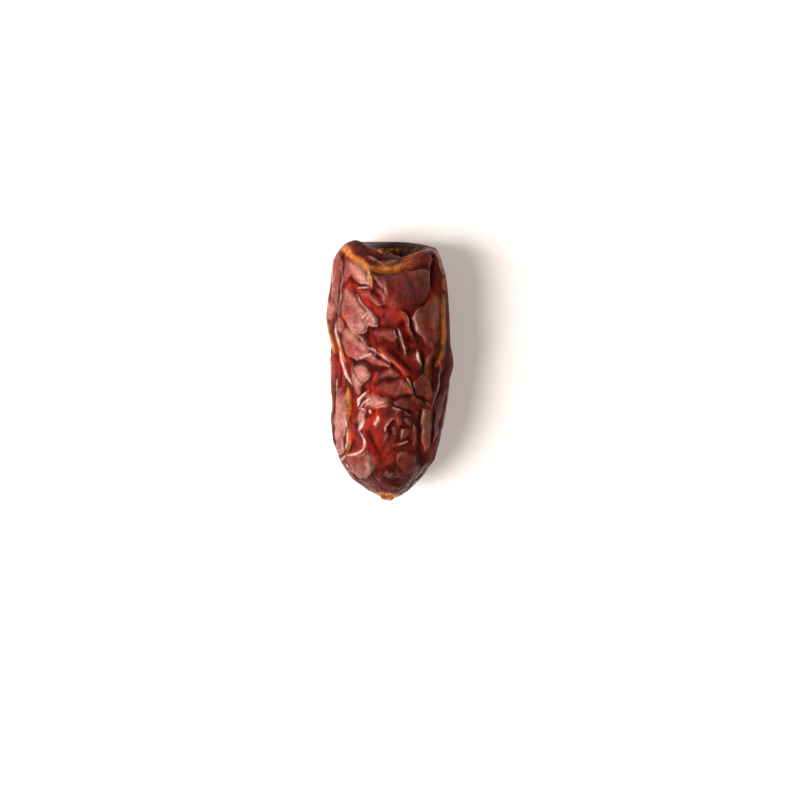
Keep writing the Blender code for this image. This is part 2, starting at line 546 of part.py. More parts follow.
def folded_fruit():
    """The folded skin at the mesh's own count of rings and segments, standing on its flat spot."""
    smooth = smooth_fruit((RINGS - 1) * FINER + 1, SEGMENTS * FINER)
    skin = Skin(smooth)
    for heights, *places in UPPER_FOLDS.values():
        skin.fold(heights, [skin.cell_above(x, y) for x, y in places])
    for heights, *places in ROUND_FOLDS.values():
        skin.fold(heights, [skin.cell_round(y, degrees) for y, degrees in places])
    heights = skin.settle(400) + skin.slabs()

    # Plates everywhere but on the stem end and the very tip, and quieter on the upper side
    x, y, z = smooth[:, :, 0], smooth[:, :, 1], smooth[:, :, 2]
    girth = np.hypot(x / HALF_WIDTH, z / HALF_HEIGHT)
    bare = (1.0 - UPPER_CALM * smooth_step(0.5, 4.5, z)) * (1.0 - smooth_step(14.0, 17.5, y))
    bare *= smooth_step(0.25, 0.6, girth)
    for width, longer, depth, leaning, seed in PLATES:
        crease, lean = plates(smooth, width, longer, seed)
        heights += bare * (depth * (crease - 1.0) + leaning * lean)

    under = smooth_step(-5.0, -8.0, z) * bump(y, *REST_PLACE)
    heights *= 1.0 - 0.8 * under
    for _ in range(SOFTENINGS):
        heights = softened(heights)
    points = (smooth + skin.normals * heights[:, :, None])[::FINER, ::FINER]
    to_outline(points)
    points[0] = points[0].mean(axis=0)
    points[-1] = points[-1].mean(axis=0)

    floor = points[:, :, 2].min() + FLOOR_CUT
    points[:, :, 2] = np.maximum(points[:, :, 2], floor) - floor
    low, high = points.min(axis=(0, 1)), points.max(axis=(0, 1))
    points[:, :, :2] -= (low[:2] + high[:2]) / 2
    return points


def flatness(first, second, third, fourth):
    """How alike the two triangles on the diagonal from first to third face: 1 where they lie flat."""
    one = np.cross(second - first, third - first)
    other = np.cross(third - first, fourth - first)
    return (one * other).sum(axis=2) / (np.linalg.norm(one, axis=2) * np.linalg.norm(other, axis=2))


def sleeve_faces(points):
    """Faces of the sleeve, facing out, with a fan at either pole.

    Each cell is split along its flatter diagonal, so that a slanting fold keeps a straight edge.
    """
    near, far = points[1:-2], points[2:-1]
    cell = (near, np.roll(near, -1, axis=1), np.roll(far, -1, axis=1), far)
    slanting = flatness(*cell) < flatness(*cell[1:], cell[0])
    last = 1 + (RINGS - 3) * SEGMENTS
    tip = last + SEGMENTS
    faces = []
    for here in range(SEGMENTS):
        there = (here + 1) % SEGMENTS
        faces.append((0, 1 + there, 1 + here))
        faces.append((tip, last + here, last + there))
        for ring in range(RINGS - 3):
            start = 1 + ring * SEGMENTS
            a, b = start + here, start + there
            c, d = b + SEGMENTS, a + SEGMENTS
            if slanting[ring, here]:
                a, b, c, d = b, c, d, a
            faces.append((a, b, c))
            faces.append((a, c, d))
    return faces


def skin_material():
    material = bpy.data.materials.new("date_skin")
    material.use_nodes = True
    shader = material.node_tree.nodes["Principled BSDF"]
    shader.inputs["Base Color"].default_value = SKIN_COLOR
    shader.inputs["Roughness"].default_value = SKIN_ROUGHNESS
    return material


def build_date():
    points = folded_fruit()
    corners = np.vstack([points[:1, 0], points[1:-1].reshape(-1, 3), points[-1:, 0]]) * MM
    mesh = bpy.data.meshes.new("date")
    mesh.from_pydata(corners.tolist(), [], sleeve_faces(points))
    mesh.materials.append(skin_material())
    mesh.shade_smooth()
    date = bpy.data.objects.new("date", mesh)
    bpy.context.scene.collection.objects.link(date)
    return date


def clear_scene():
    for item in list(bpy.data.objects):
        bpy.data.objects.remove(item, do_unlink=True)


def main():
    clear_scene()
    build_date()


if __name__ == "__main__":
    main()
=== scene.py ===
"""A dried piarom date on a pale floor: the folded, waxy skin, the fibres in the stem hollow, and the stage.

Each piece is made by an operator of its own, from the sizes and colours in the sidebar panel.
"""

import math
import random

import bpy
import numpy as np
from mathutils import Color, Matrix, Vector, noise


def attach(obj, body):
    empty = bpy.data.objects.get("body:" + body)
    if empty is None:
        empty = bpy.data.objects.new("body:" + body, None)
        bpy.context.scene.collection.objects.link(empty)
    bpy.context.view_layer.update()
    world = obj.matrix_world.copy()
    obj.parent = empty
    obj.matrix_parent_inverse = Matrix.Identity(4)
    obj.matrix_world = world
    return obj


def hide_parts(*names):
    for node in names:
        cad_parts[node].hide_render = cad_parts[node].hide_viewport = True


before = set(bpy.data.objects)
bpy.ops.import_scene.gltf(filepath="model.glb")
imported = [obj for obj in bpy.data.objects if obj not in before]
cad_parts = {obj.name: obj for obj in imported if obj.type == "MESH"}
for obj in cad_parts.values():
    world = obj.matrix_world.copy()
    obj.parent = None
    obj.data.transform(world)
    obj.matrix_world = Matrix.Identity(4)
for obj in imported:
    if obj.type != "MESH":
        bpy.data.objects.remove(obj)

bl_info = {
    "name": "Piarom date",
    "version": (1, 0, 0),
    "blender": (4, 5, 0),
    "location": "3D View > Sidebar > Date",
    "description": "Builds a dried date with folded waxy skin, and a pale stage to show it on",
    "category": "Object",
}

MM = 0.001
NODE = "date"

# Stand-ins that keep a division from failing and a search from finding what doesn't show
TINY = 1e-9
FAR = 1e6

# All lengths down to the looks are in millimetres. A pair named SPAN, EDGE, WALL or the like gives where
# something starts and where it is complete; a pair named PLACE gives a middle and a spread

# The smooth fruit
STEM_END = 20.5
TIP_END = -20.85
HALF_WIDTH = 9.9
HALF_HEIGHT = 9.3
SECTION_POWER = 2.12
TIP_START = -4.5
TIP_POWERS = (2.2, 0.6)
STEM_START = 11.0
STEM_POWERS = (2.0, 0.15)
FLOOR_CUT = 0.45

# The outline is worked out in three runs: the stem end out to a girth, the body up to a place, and the tip
CAP_GIRTH = 0.94
CAP_STEPS = 200
TIP_CAP = -9.5
BODY_STEPS = 300

# How much closer together the segments lie on the upper side than on the flanks
UPPER_CROWDING = 0.3

# The outline from above: a place along the axis, and how far the skin reaches to the left and the right
OUTLINE = (
    (20.4, 7.6, 7.0),
    (19.5, 8.4, 7.7),
    (17.9, 9.3, 8.4),
    (14.7, 9.7, 9.1),
    (11.4, 10.1, 9.4),
    (8.8, 10.4, 9.6),
    (6.5, 10.1, 9.7),
    (4.1, 9.5, 9.8),
    (1.7, 9.9, 10.3),
    (0.9, 9.8, 10.4),
    (-1.6, 9.8, 9.7),
    (-4.8, 9.6, 9.3),
    (-8.1, 9.6, 8.7),
    (-11.3, 9.3, 8.1),
    (-14.6, 8.1, 7.2),
    (-16.2, 7.2, 6.0),
    (-17.8, 6.1, 4.8),
    (-19.5, 3.7, 2.8),
    (-20.4, 1.8, 1.3),
)
OUTLINE_HEIGHT = 0.6
OUTLINE_SPREAD = 6.0
RIM_REACH = 7.4
LEAST_REACH = 2.0
FLANK_SHARE = 0.6

# The stem end leans back, with a notch in its upper lip and a lobe at the left
LEAN_SPAN = (6.0, 18.5)
END_TILT = 0.09
UPPER_BLEND = 3.0
NOTCH_CENTRE = 1.2
NOTCH_WIDTH = 4.6
NOTCH_DEPTH = 1.9
NOTCH_GIRTH = 0.7
LOBE_CENTRE = (-5.6, 3.5)
LOBE_SIZE = (2.6, 4.5)
LOBE_HEIGHT = 0.75

# The stem hollow. Its wall, its dark part and the reach of its low rim are shares of its radii
END_SPAN = (14.0, 17.0)
HOLLOW_CENTRE = (1.5, 0.6)
HOLLOW_RADII = (4.4, 4.2)
HOLLOW_DEPTH = 3.4
HOLLOW_WALL = (0.45, 1.12)
HOLLOW_DARK = (0.8, 1.15)
LOW_RIM_HEIGHT = (3.0, 0.5)
LOW_RIM_SPAN = (18.3, 19.6)
LOW_RIM_REACH = (1.2, 1.75)
LOW_RIM_FADE = 0.75
LOW_RIM_SHARE = 0.9
RIM_STRIP_SPAN = (20.2, 19.8)

# The share of the rings, from the stem end, that lie in the hollow
HOLLOW_RINGS = 0.12

# The crumbly flesh in the hollow
CRUMB_SIZE = 0.55
CRUMB_HEIGHT = 0.3

# The fibres: where they stand, the height their feet are looked for from, how deep a root goes, and
# their curl and taper as shares
FIBRE_SEED = 7
FIBRE_X = (-1.9, 1.5)
FIBRE_Y = (18.5, 19.8)
FIBRE_ABOVE = 20.0
FIBRE_ROOT = 0.3
FIBRE_CURL = 0.35
FIBRE_TAPER = 0.75
FIBRE_SIDES = 6
FIBRE_KNOTS = 7

# Where the flesh in the hollow is golden under the fibres
GOLDEN_PLACE = (-0.2, 1.6)

# The pale scar on the tip. Its wall is a share of its radius
SCAR_CENTRE = (-0.5, 0.8)
SCAR_RADIUS = 1.15
SCAR_HEIGHT = 0.35
SCAR_SPAN = (-17.0, -19.5)
SCAR_WALL = (0.7, 1.1)
SCAR_COLOR_RADIUS = 2.3
SCAR_COLOR_SPAN = (-17.0, -19.0)

# What shows from above: skin that faces up at least this much and lies at least this high
SEEN_SLOPE = 0.02
SEEN_HEIGHT = -1.0

# The film: its least cell, how firmly it keeps to a fold, and the rounds it settles in
LEAST_CELL = 0.02
HOLD = 0.2
LONG_TURNS = 400
SHORT_TURNS = 260

# A fold: how far the two sides of a step lie from its route, the steps along the route, and the share of
# it that tapers off at either end
STEP_HALF = 0.18
FOLD_STEP = 0.35
FOLD_TAPER = 0.18
FOLD_TAPER_POWER = 0.7

# Colour routes: the steps along one, and the half width of the thin line in a fold
ROUTE_STEP = 0.15
FOLD_LINE = 0.1

# Long folds on the upper side: (height left, height right) of the direction of travel, then (x, y) places
# as seen from above
LONG_FOLDS = (
    (-0.45, -0.45, (-7.3, 18.7), (-7.9, 16.3), (-8.1, 13.4), (-8.4, 10.6), (-8.5, 7.8)),
    (-0.6, -0.6, (-8.3, 5.7), (-7.8, 3.3), (-7.1, 1.0), (-6.5, -1.3), (-6.3, -3.5), (-6.3, -5.6),
     (-5.8, -7.9)),
    (-0.35, -0.35, (-6.7, -8.1), (-6.8, -10.8), (-6.7, -13.3)),
    (-0.7, -0.7, (-8.9, 3.3), (-8.5, 1.0), (-8.4, -1.3), (-8.4, -3.4)),
    (0.45, 0.45, (-9.7, 11.4), (-10.2, 8.5), (-9.6, 5.7), (-8.9, 3.0)),
    (0.5, 0.5, (7.0, 19.5), (8.1, 17.8), (8.7, 15.3), (8.8, 12.7), (8.6, 9.8), (8.5, 6.5),
     (8.6, 3.9), (8.0, 1.8)),
    (-0.4, -0.4, (7.1, 18.2), (7.1, 16.0), (6.9, 13.7), (6.3, 11.6), (5.2, 10.1), (4.4, 9.1)),
    (-0.8, -0.8, (7.3, 2.5), (7.1, 0.4), (7.1, -1.9), (7.2, -3.9)),
    (-0.7, -0.7, (9.3, 0.7), (8.4, -1.1), (8.4, -3.2), (8.1, -5.6), (7.7, -8.4), (7.5, -10.7), (7.2, -12.8)),
    (-0.6, -0.6, (5.0, -4.8), (5.4, -7.8), (5.2, -11.0), (5.1, -13.3), (5.7, -15.9)),
    (-0.55, -0.55, (-3.9, -9.4), (-3.1, -11.3), (-1.9, -13.3), (-1.1, -15.6)),
    (-0.45, -0.45, (-6.2, 13.4), (-5.0, 11.3), (-3.7, 9.6), (-2.3, 7.8), (-1.1, 6.4)),
    (0.45, 0.45, (-7.1, 20.2), (-6.0, 18.4), (-4.7, 17.2), (-3.2, 16.3), (-1.3, 16.0)),
    (0.45, 0.45, (-1.3, 16.0), (0.8, 16.2), (2.4, 16.7), (4.1, 17.5), (5.7, 18.6), (7.0, 19.7)),
    (-0.65, -0.65, (1.7, 8.2), (2.3, 7.1), (2.7, 5.9), (3.3, 4.9), (3.9, 4.1)),
)

# Short folds between them, in the same form
SHORT_FOLDS = (
    (-0.4, -0.4, (-7.5, 14.8), (-6.5, 14.8), (-5.4, 14.2), (-4.4, 13.4), (-3.4, 13.2)),
    (-0.3, -0.3, (-3.1, 13.0), (-2.1, 11.9), (-1.3, 10.8), (-1.0, 9.6)),
    (0.2, 0.2, (-1.0, 14.2), (-0.6, 12.2), (-1.0, 10.4)),
    (0.35, 0.35, (-4.7, 1.7), (-3.6, 2.2), (-2.4, 2.6)),
    (-0.4, -0.4, (-6.2, 1.5), (-4.7, 1.4), (-3.6, 0.7), (-2.1, 0.0), (-0.3, 0.2)),
    (-0.35, 0.3, (-3.1, 3.3), (-1.9, 2.0), (-0.5, 1.1), (1.0, 0.0)),
    (-0.35, -0.35, (-2.0, 3.6), (-1.8, 4.1), (-1.1, 4.3), (0.5, 4.2), (1.2, 4.3)),
    (-0.35, -0.35, (-3.2, 6.5), (-2.2, 6.7), (-0.9, 6.8), (0.5, 6.7), (1.0, 6.4)),
    (-0.35, -0.35, (1.0, 6.4), (1.2, 5.7), (1.2, 5.0), (1.4, 4.4), (1.8, 3.7), (2.1, 2.9), (2.6, 2.3)),
    (0.3, 0.3, (1.3, 6.6), (1.7, 5.5), (2.0, 4.4), (2.3, 3.3), (2.5, 2.4)),
    (-0.2, -0.2, (2.6, 2.8), (3.2, 3.0), (3.7, 3.2), (4.3, 3.1)),
    (-0.4, -0.4, (-3.2, 6.4), (-3.8, 5.4), (-3.7, 4.4), (-3.1, 3.5)),
    (0.3, 0.3, (-1.9, 3.3), (0.0, 1.7), (1.6, 0.4), (2.8, -0.8)),
    (-0.4, -0.4, (-0.6, 3.6), (0.8, 2.6), (1.9, 1.5), (3.4, -0.1), (4.2, -1.6)),
    (-0.3, -0.3, (-2.4, -0.3), (-1.3, 0.2), (0.2, 0.3), (1.3, -0.1), (1.8, -0.9)),
    (-0.3, -0.3, (-3.1, -2.2), (-2.1, -2.2), (-1.0, -1.7), (0.3, -1.7), (1.5, -1.4)),
    (-0.3, -0.3, (0.3, -4.8), (1.8, -4.5), (3.4, -4.0), (4.1, -3.9)),
    (-0.25, 0.3, (2.8, -1.4), (3.2, -2.4), (3.7, -3.5), (4.2, -4.3), (5.5, -5.2), (6.5, -5.6)),
    (-0.35, -0.35, (-5.5, -5.7), (-4.7, -5.0), (-3.7, -4.4)),
    (-0.35, -0.35, (-5.2, -4.2), (-4.4, -3.4), (-3.9, -2.9)),
    (0.35, 0.35, (-5.4, -5.2), (-4.4, -4.2), (-3.4, -3.4)),
    (0.2, 0.2, (-6.3, 1.0), (-6.2, -0.3), (-5.5, -1.7), (-5.0, -2.6)),
    (-0.15, -0.15, (-5.4, -1.3), (-4.5, -1.9), (-3.7, -1.9)),
    (-0.3, -0.3, (-5.0, -7.8), (-5.5, -9.2)),
    (0.42, 0.42, (-4.7, -10.0), (-4.1, -10.8), (-3.9, -11.8), (-4.4, -12.7), (-5.5, -13.3), (-7.0, -13.6)),
    (-0.3, -0.3, (-5.5, -11.3), (-6.2, -12.3), (-6.3, -13.1)),
    (0.35, 0.35, (-7.0, -13.6), (-7.5, -14.3), (-8.0, -15.4)),
    (0.35, 0.35, (-1.8, -7.2), (-1.9, -8.2), (-2.4, -9.2)),
    (0.32, 0.32, (0.7, -7.7), (0.3, -7.8), (-0.2, -8.5), (-0.6, -8.9), (-0.8, -9.8)),
    (0.25, 0.25, (-0.4, -10.2), (-0.7, -10.8), (-0.9, -11.3)),
    (-0.3, -0.3, (0.8, -8.1), (0.3, -8.4), (-0.1, -8.8), (0.1, -9.4), (0.2, -9.9), (0.4, -10.5)),
    (0.22, 0.22, (1.0, -6.7), (1.1, -7.5), (1.3, -8.0), (1.3, -8.7)),
    (0.2, 0.2, (1.8, -7.9), (1.7, -8.7)),
    (0.25, 0.25, (0.4, -5.9), (1.0, -6.2), (1.9, -6.4)),
    (-0.35, -0.35, (0.6, -5.1), (0.8, -5.6), (1.4, -5.9), (2.2, -6.1), (3.1, -6.5), (4.1, -7.1)),
    (0.2, 0.2, (2.3, -6.6), (2.9, -7.1), (3.5, -7.2)),
    (-0.2, -0.2, (2.1, -7.0), (2.8, -7.5), (3.6, -7.4)),
    (-0.28, -0.28, (1.7, -8.9), (2.2, -9.2), (2.8, -9.0), (3.3, -9.1), (3.8, -9.6)),
    (-0.22, -0.22, (4.2, -7.6), (4.1, -8.3), (3.5, -8.9)),
    (-0.24, -0.24, (1.6, -9.2), (1.6, -10.2), (1.7, -11.2), (2.2, -11.5)),
    (-0.3, -0.3, (0.8, -11.6), (1.7, -11.5), (2.8, -11.2), (3.6, -10.4)),
    (0.28, 0.28, (1.3, -11.9), (2.0, -11.8), (3.0, -11.4)),
    (-0.3, -0.3, (1.5, -12.2), (2.4, -12.0), (3.3, -11.7), (3.9, -11.2)),
    (-0.25, -0.25, (0.5, -12.6), (1.6, -13.0), (2.9, -12.6)),
    (-0.3, -0.3, (2.1, -13.3), (1.3, -14.9), (0.6, -16.4)),
    (0.25, 0.25, (-0.6, -16.4), (0.3, -16.9)),
    (-0.3, -0.3, (-1.3, -17.0), (0.0, -17.7), (1.6, -17.8)),
    (0.36, 0.36, (1.7, 9.2), (2.3, 8.9), (2.8, 8.4), (3.0, 7.6), (3.1, 6.9), (3.3, 6.2),
     (3.7, 5.5), (4.0, 5.0)),
    (-0.15, -0.15, (1.9, 9.6), (2.6, 9.3), (3.2, 8.6), (3.5, 7.8), (3.4, 7.1), (3.7, 6.2), (4.2, 5.2)),
    (0.4, 0.4, (4.4, 3.1), (4.5, 1.8), (5.0, 0.5)),
    (-0.35, -0.35, (4.8, 3.0), (5.2, 1.7), (5.6, 0.4), (5.6, -0.8), (4.9, -1.4)),
    (0.25, 0.25, (6.5, 4.4), (6.7, 3.1), (6.0, 1.8), (5.8, 0.7)),
    (0.35, 0.35, (7.8, 1.5), (8.1, -0.1), (8.0, -2.2), (7.5, -4.2)),
    (-0.3, -0.3, (2.9, -1.1), (4.1, -1.7), (5.2, -1.3)),
    (0.38, 0.38, (-8.6, 7.8), (-8.4, 5.2), (-8.1, 3.0), (-7.6, 0.9), (-7.0, -0.8), (-6.3, -2.4)),
    (-0.35, -0.35, (-8.8, -1.3), (-9.2, -3.9), (-9.2, -6.3), (-8.8, -8.4), (-8.8, -11.3)),
    (-0.35, -0.35, (-2.6, 15.2), (-0.8, 15.0), (0.8, 15.1), (2.4, 15.6), (4.5, 16.0)),
    (-0.4, -0.4, (-2.3, 17.8), (-1.0, 17.3), (0.5, 16.9), (1.8, 17.1), (2.9, 17.7)),
    (0.3, 0.3, (-3.4, 16.0), (-3.1, 14.5), (-3.0, 13.0)),
    (0.22, 0.22, (4.0, -8.6), (4.1, -9.8), (4.2, -10.9), (3.9, -12.0)),
    (-0.25, -0.25, (-8.1, 8.0), (-7.3, 7.4), (-7.5, 6.5)),
    (0.2, 0.2, (-9.1, 17.6), (-9.4, 15.5), (-9.1, 13.0)),
    (-0.25, -0.25, (-9.6, 11.4), (-8.9, 10.4), (-8.6, 8.5)),
)

# Folds on the flanks and the underside: the same two heights, then (y, degrees) places, where 0 degrees
# is +X, 90 is up and 270 is down
ROUND_FOLDS = (
    (-0.5, -0.5, (16.5, 0), (9, -7), (0, -12), (-9, -5), (-15, 4)),
    (0.4, 0.4, (17.5, -20), (9, -27), (-2, -23), (-11, -29), (-16, -22)),
    (-0.55, -0.55, (16, -38), (7, -46), (-3, -41), (-13, -48)),
    (-0.3, 0.3, (17, -58), (10, -63), (3, -60), (-3, -66)),
    (-0.5, -0.5, (15, 176), (7, 183), (-2, 179), (-10, 186), (-15, 181)),
    (0.4, 0.4, (17.5, 198), (8, 204), (-1, 200), (-12, 207)),
    (-0.55, -0.55, (16, 219), (8, 226), (-4, 221), (-14, 228)),
    (0.3, -0.3, (17, 240), (10, 246), (1, 243), (-5, 249)),
    (-0.4, -0.4, (18.5, 262), (14, 266), (10.5, 272)),
    (-0.35, -0.35, (18.5, 288), (14.5, 285), (11, 291)),
    (-0.4, -0.4, (-9.5, 268), (-13.5, 262), (-18, 266)),
    (-0.35, -0.35, (-10, 294), (-14.5, 300), (-18.5, 296)),
    (-0.35, -0.35, (-14.5, 28), (-17.5, 24), (-19.8, 30)),
    (-0.35, -0.35, (-14.5, 152), (-17.5, 158), (-19.8, 150)),
    (-0.35, -0.35, (-13, 212), (-17, 218), (-19.6, 212)),
)

# Slabs of skin on the upper side that stand above the red creases: the direction in which a slab rises,
# in degrees from +X seen from above, its rise in millimetres, how much dust and painted sheen it shows,
# and its corners
SLABS = {
    "shoulder_left": (
        (-50, 0.45, 0.8),
        ((-7.5, 17.3), (-6.4, 17.7), (-5.3, 17.1), (-4.2, 16.0), (-3.7, 14.9), (-3.5, 13.4), (-5.3, 14.1)),
        ((-6.5, 14.9), (-7.5, 14.1), (-7.9, 14.1), (-7.8, 15.7)),
    ),
    "wedge_upper_left": (
        (-45, 0.4, 0.35),
        ((-5.5, 12.8), (-3.7, 12.9), (-2.6, 12.3), (-1.4, 11.1), (-1.2, 10.1), (-2.1, 10.3), (-3.4, 11.1)),
        ((-4.8, 11.9),),
    ),
    "flap_by_strand": (
        (20, 0.3, 0.2),
        ((-2.2, 13.2), (-1.2, 12.8), (-0.7, 10.4), (-1.2, 9.6), (-1.5, 11.0)),
        (),
    ),
    "slab_left": (
        (-25, 0.6, 0.9),
        ((-8.0, 13.2), (-6.4, 13.9), (-5.9, 12.7), (-5.0, 10.9), (-4.0, 9.8), (-3.1, 9.3), (-2.2, 8.2)),
        ((-1.9, 7.0), (-3.4, 6.9), (-3.9, 6.1), (-5.6, 5.6), (-6.9, 7.0), (-7.5, 8.1),
         (-8.1, 9.3), (-8.1, 11.7)),
    ),
    "slab_left_middle": (
        (-30, 0.55, 0.9),
        ((-7.9, 6.8), (-6.9, 6.8), (-5.3, 5.4), (-4.0, 4.4), (-3.0, 3.0), (-3.7, 2.4), (-5.6, 1.5)),
        ((-7.1, 2.4), (-7.8, 4.5)),
    ),
    "triangle_middle": (
        (25, 0.45, 0.6),
        ((-4.6, 1.7), (-2.8, 3.0), (-1.4, 2.4), (0.2, 1.2), (0.2, 0.5), (-1.3, 0.5), (-2.7, 0.8)),
        ((-3.7, 1.3),),
    ),
    "pillow_small": (
        (0, 0.35, 0.12),
        ((-2.2, 6.1), (-1.4, 6.5), (0.8, 6.5), (1.3, 5.3), (1.0, 4.5), (-0.5, 4.7), (-2.1, 5.5)),
        (),
    ),
    "panel_front": (
        (90, 0.25, 0.25),
        ((-2.7, 15.2), (-0.5, 15.0), (2.7, 15.7), (6.4, 15.9), (6.7, 13.2), (6.1, 11.4), (4.0, 9.6)),
        ((2.1, 9.3), (-0.5, 10.1), (-0.8, 12.5), (-2.1, 13.8)),
    ),
    "slab_right": (
        (180, 0.35, 0.4),
        ((7.3, 12.4), (8.0, 13.0), (8.0, 9.3), (7.6, 4.5), (6.4, 3.4), (4.5, 6.0), (3.5, 8.4)),
        ((4.3, 9.4), (5.8, 10.4)),
    ),
    "panel_far_left": (
        (0, 0.3, 0.4),
        ((-9.1, 17.7), (-8.1, 19.1), (-7.8, 17.3), (-7.9, 12.5), (-8.4, 8.5), (-9.9, 10.9), (-9.7, 13.2)),
        ((-9.4, 15.3),),
    ),
    "diamond_left": (
        (-15, 0.55, 1.0),
        ((-6.1, 0.5), (-4.7, 0.9), (-3.7, 0.0), (-3.2, -0.8), (-3.6, -1.7), (-4.1, -2.0), (-4.9, -2.6)),
        ((-5.4, -1.7), (-5.8, -0.6)),
    ),
    "wing_left": (
        (-10, 0.6, 0.9),
        ((-5.3, -5.8), (-4.5, -4.5), (-3.6, -3.9), (-2.4, -3.7), (-1.3, -4.3), (-0.5, -5.0), (-0.5, -5.7)),
        ((-1.3, -6.0), (-2.6, -6.1), (-4.1, -6.0)),
    ),
    "flap_left": (
        (0, 0.5, 0.9),
        ((-5.4, -6.3), (-4.0, -6.3), (-4.0, -7.4), (-4.5, -8.7), (-4.8, -10.0), (-5.2, -9.4), (-5.5, -7.8)),
        (),
    ),
    "panel_low_left": (
        (-10, 0.35, 0.6),
        ((-9.1, -3.0), (-8.0, -2.7), (-7.3, -4.2), (-7.1, -6.1), (-7.1, -7.8), (-7.3, -10.7), (-7.1, -13.0)),
        ((-7.8, -13.9), (-8.7, -11.0), (-9.2, -8.4), (-9.2, -5.8)),
    ),
    "facet_low_left": (
        (-20, 0.5, 0.7),
        ((-7.1, -13.8), (-4.7, -13.3), (-3.7, -13.0), (-3.1, -14.3), (-2.6, -15.6), (-3.2, -16.9),
         (-4.7, -17.5)),
        ((-5.5, -16.9), (-6.4, -15.1)),
    ),
    "pillow_middle": (
        (20, 0.35, 0.12),
        ((-2.5, -2.8), (-1.1, -1.9), (0.6, -1.5), (2.1, -1.5), (3.3, -2.5), (3.7, -3.6), (2.3, -4.0)),
        ((0.6, -4.4), (-1.1, -3.7)),
    ),
    "diamond_right": (
        (150, 0.35, 0.25),
        ((3.9, -2.0), (5.5, -0.6), (6.7, -1.6), (7.0, -3.4), (6.5, -4.9), (4.5, -4.2), (3.9, -3.1)),
        (),
    ),
    "slab_low_right": (
        (200, 0.3, 0.2),
        ((0.7, -5.0), (2.1, -4.4), (3.4, -4.0), (4.2, -5.0), (4.4, -6.7), (3.4, -6.5), (1.0, -5.7)),
        (),
    ),
    "pillow_upper_middle": (
        (10, 0.3, 0.12),
        ((-1.3, -0.3), (0.3, 0.4), (1.3, 0.1), (1.5, -0.9), (0.3, -1.3), (-1.0, -1.4), (-1.9, -1.1)),
        (),
    ),
    "panel_low_centre": (
        (120, 0.25, 0.2),
        ((1.1, -13.4), (2.9, -13.1), (4.4, -13.8), (4.7, -16.2), (2.9, -16.8), (1.3, -15.6)),
        (),
    ),
    "crumple_right": (
        (200, 0.25, 0.25),
        ((2.4, -8.0), (3.2, -7.7), (4.1, -7.6), (4.0, -8.4), (3.3, -8.8), (2.7, -8.5)),
        (),
    ),
    "crumple_square": (
        (180, 0.2, 0.05),
        ((0.3, -9.0), (1.6, -8.9), (1.6, -10.2), (0.5, -10.4)),
        (),
    ),
    "crumple_low": (
        (160, 0.28, 0.35),
        ((1.8, -9.6), (2.7, -9.3), (3.6, -9.5), (3.4, -10.3), (2.8, -11.0), (1.9, -11.2), (1.7, -10.4)),
        (),
    ),
    "strip_right": (
        (180, 0.3, 0.3),
        ((5.4, -6.1), (7.0, -6.5), (7.6, -8.4), (7.3, -11.7), (6.0, -13.3), (5.4, -10.7)),
        (),
    ),
    "edge_right": (
        (180, 0.3, 0.3),
        ((8.0, -5.0), (8.9, -3.2), (9.4, -3.0), (9.3, -6.1), (8.5, -9.7), (7.8, -12.0), (8.0, -8.4)),
        (),
    ),
}
SLAB_EDGE = (-0.1, 0.2)
SLAB_FOOT = 0.5
SLAB_LOW = 0.08
SLAB_LIP = 0.07
LIP_PLACE = (0.24, 0.16)
SLAB_MARGIN = 0.6
COVER_EDGE = (-0.08, 0.12)
# Across a slab's edge, the place and spread of the painted shade in its outer crease and of the painted
# highlight on its rim
SLAB_CREASE_PLACE = (-0.12, 0.09)
SLAB_GLINT_PLACE = (0.08, 0.09)

# How a slab's edge wanders: how far, and the pace, swing and inner pace across and along the fruit
SLAB_WOBBLE = 0.12
SLAB_WAVES = ((2.1, 1.3, 1.7), (2.3, 1.1, 1.9))

# The shrunken skin away from the upper side: plates with creases between them, long way along the fruit.
# Each row is the plates' width, how many times longer they are, the creases' depth, how far a plate leans
# and a seed
PLATES = (
    (4.6, 2.3, 0.3, 0.75, 3),
    (2.3, 1.8, 0.1, 0.3, 8),
    (1.1, 1.5, 0.02, 0.1, 13),
)
TIP_PLATES = (0.95, 1.3, 0.05, 0.2, 21)
CREASE_WIDTH = 0.32
CREASE_SHOWS = 3.0
# The noise that bends the plates is seeded, so that they come out the same every time, and as on the node
NOISE_SEED = 1795623924
PLATE_WARP = (0.16, 2.2)
PLATE_SHIFT = (7.31, 3.17, 5.77)
PLATE_LEAN_PACE = 3.7

# Where the plates, the tip's crinkles and the calm skin over the flat spot lie
UPPER_SPAN = (0.5, 4.5)
STEM_SPAN = (14.0, 17.5)
POLE_GIRTH = (0.25, 0.6)
TIP_SPAN = (-13.0, -16.5)
CRINKLE_START = (1.2, 2.6)
UNDER_SPAN = (-5.0, -8.0)
REST_PLACE = (0.5, 7.5)
REST_CALM = 0.8

# The dark skin near the tip, and the dust on the plates
TIP_DARK_SPAN = (-14.8, -16.8)
TIP_DARK = 0.85
SIDE_DUST = 0.45

# The painted shade in grooves and the painted highlight on crests: how widely the skin is smoothed to find
# them, in rounds, and the height in millimetres that counts as a full groove or crest
RELIEF_SPREAD = 30
RELIEF_HEIGHT = 0.16

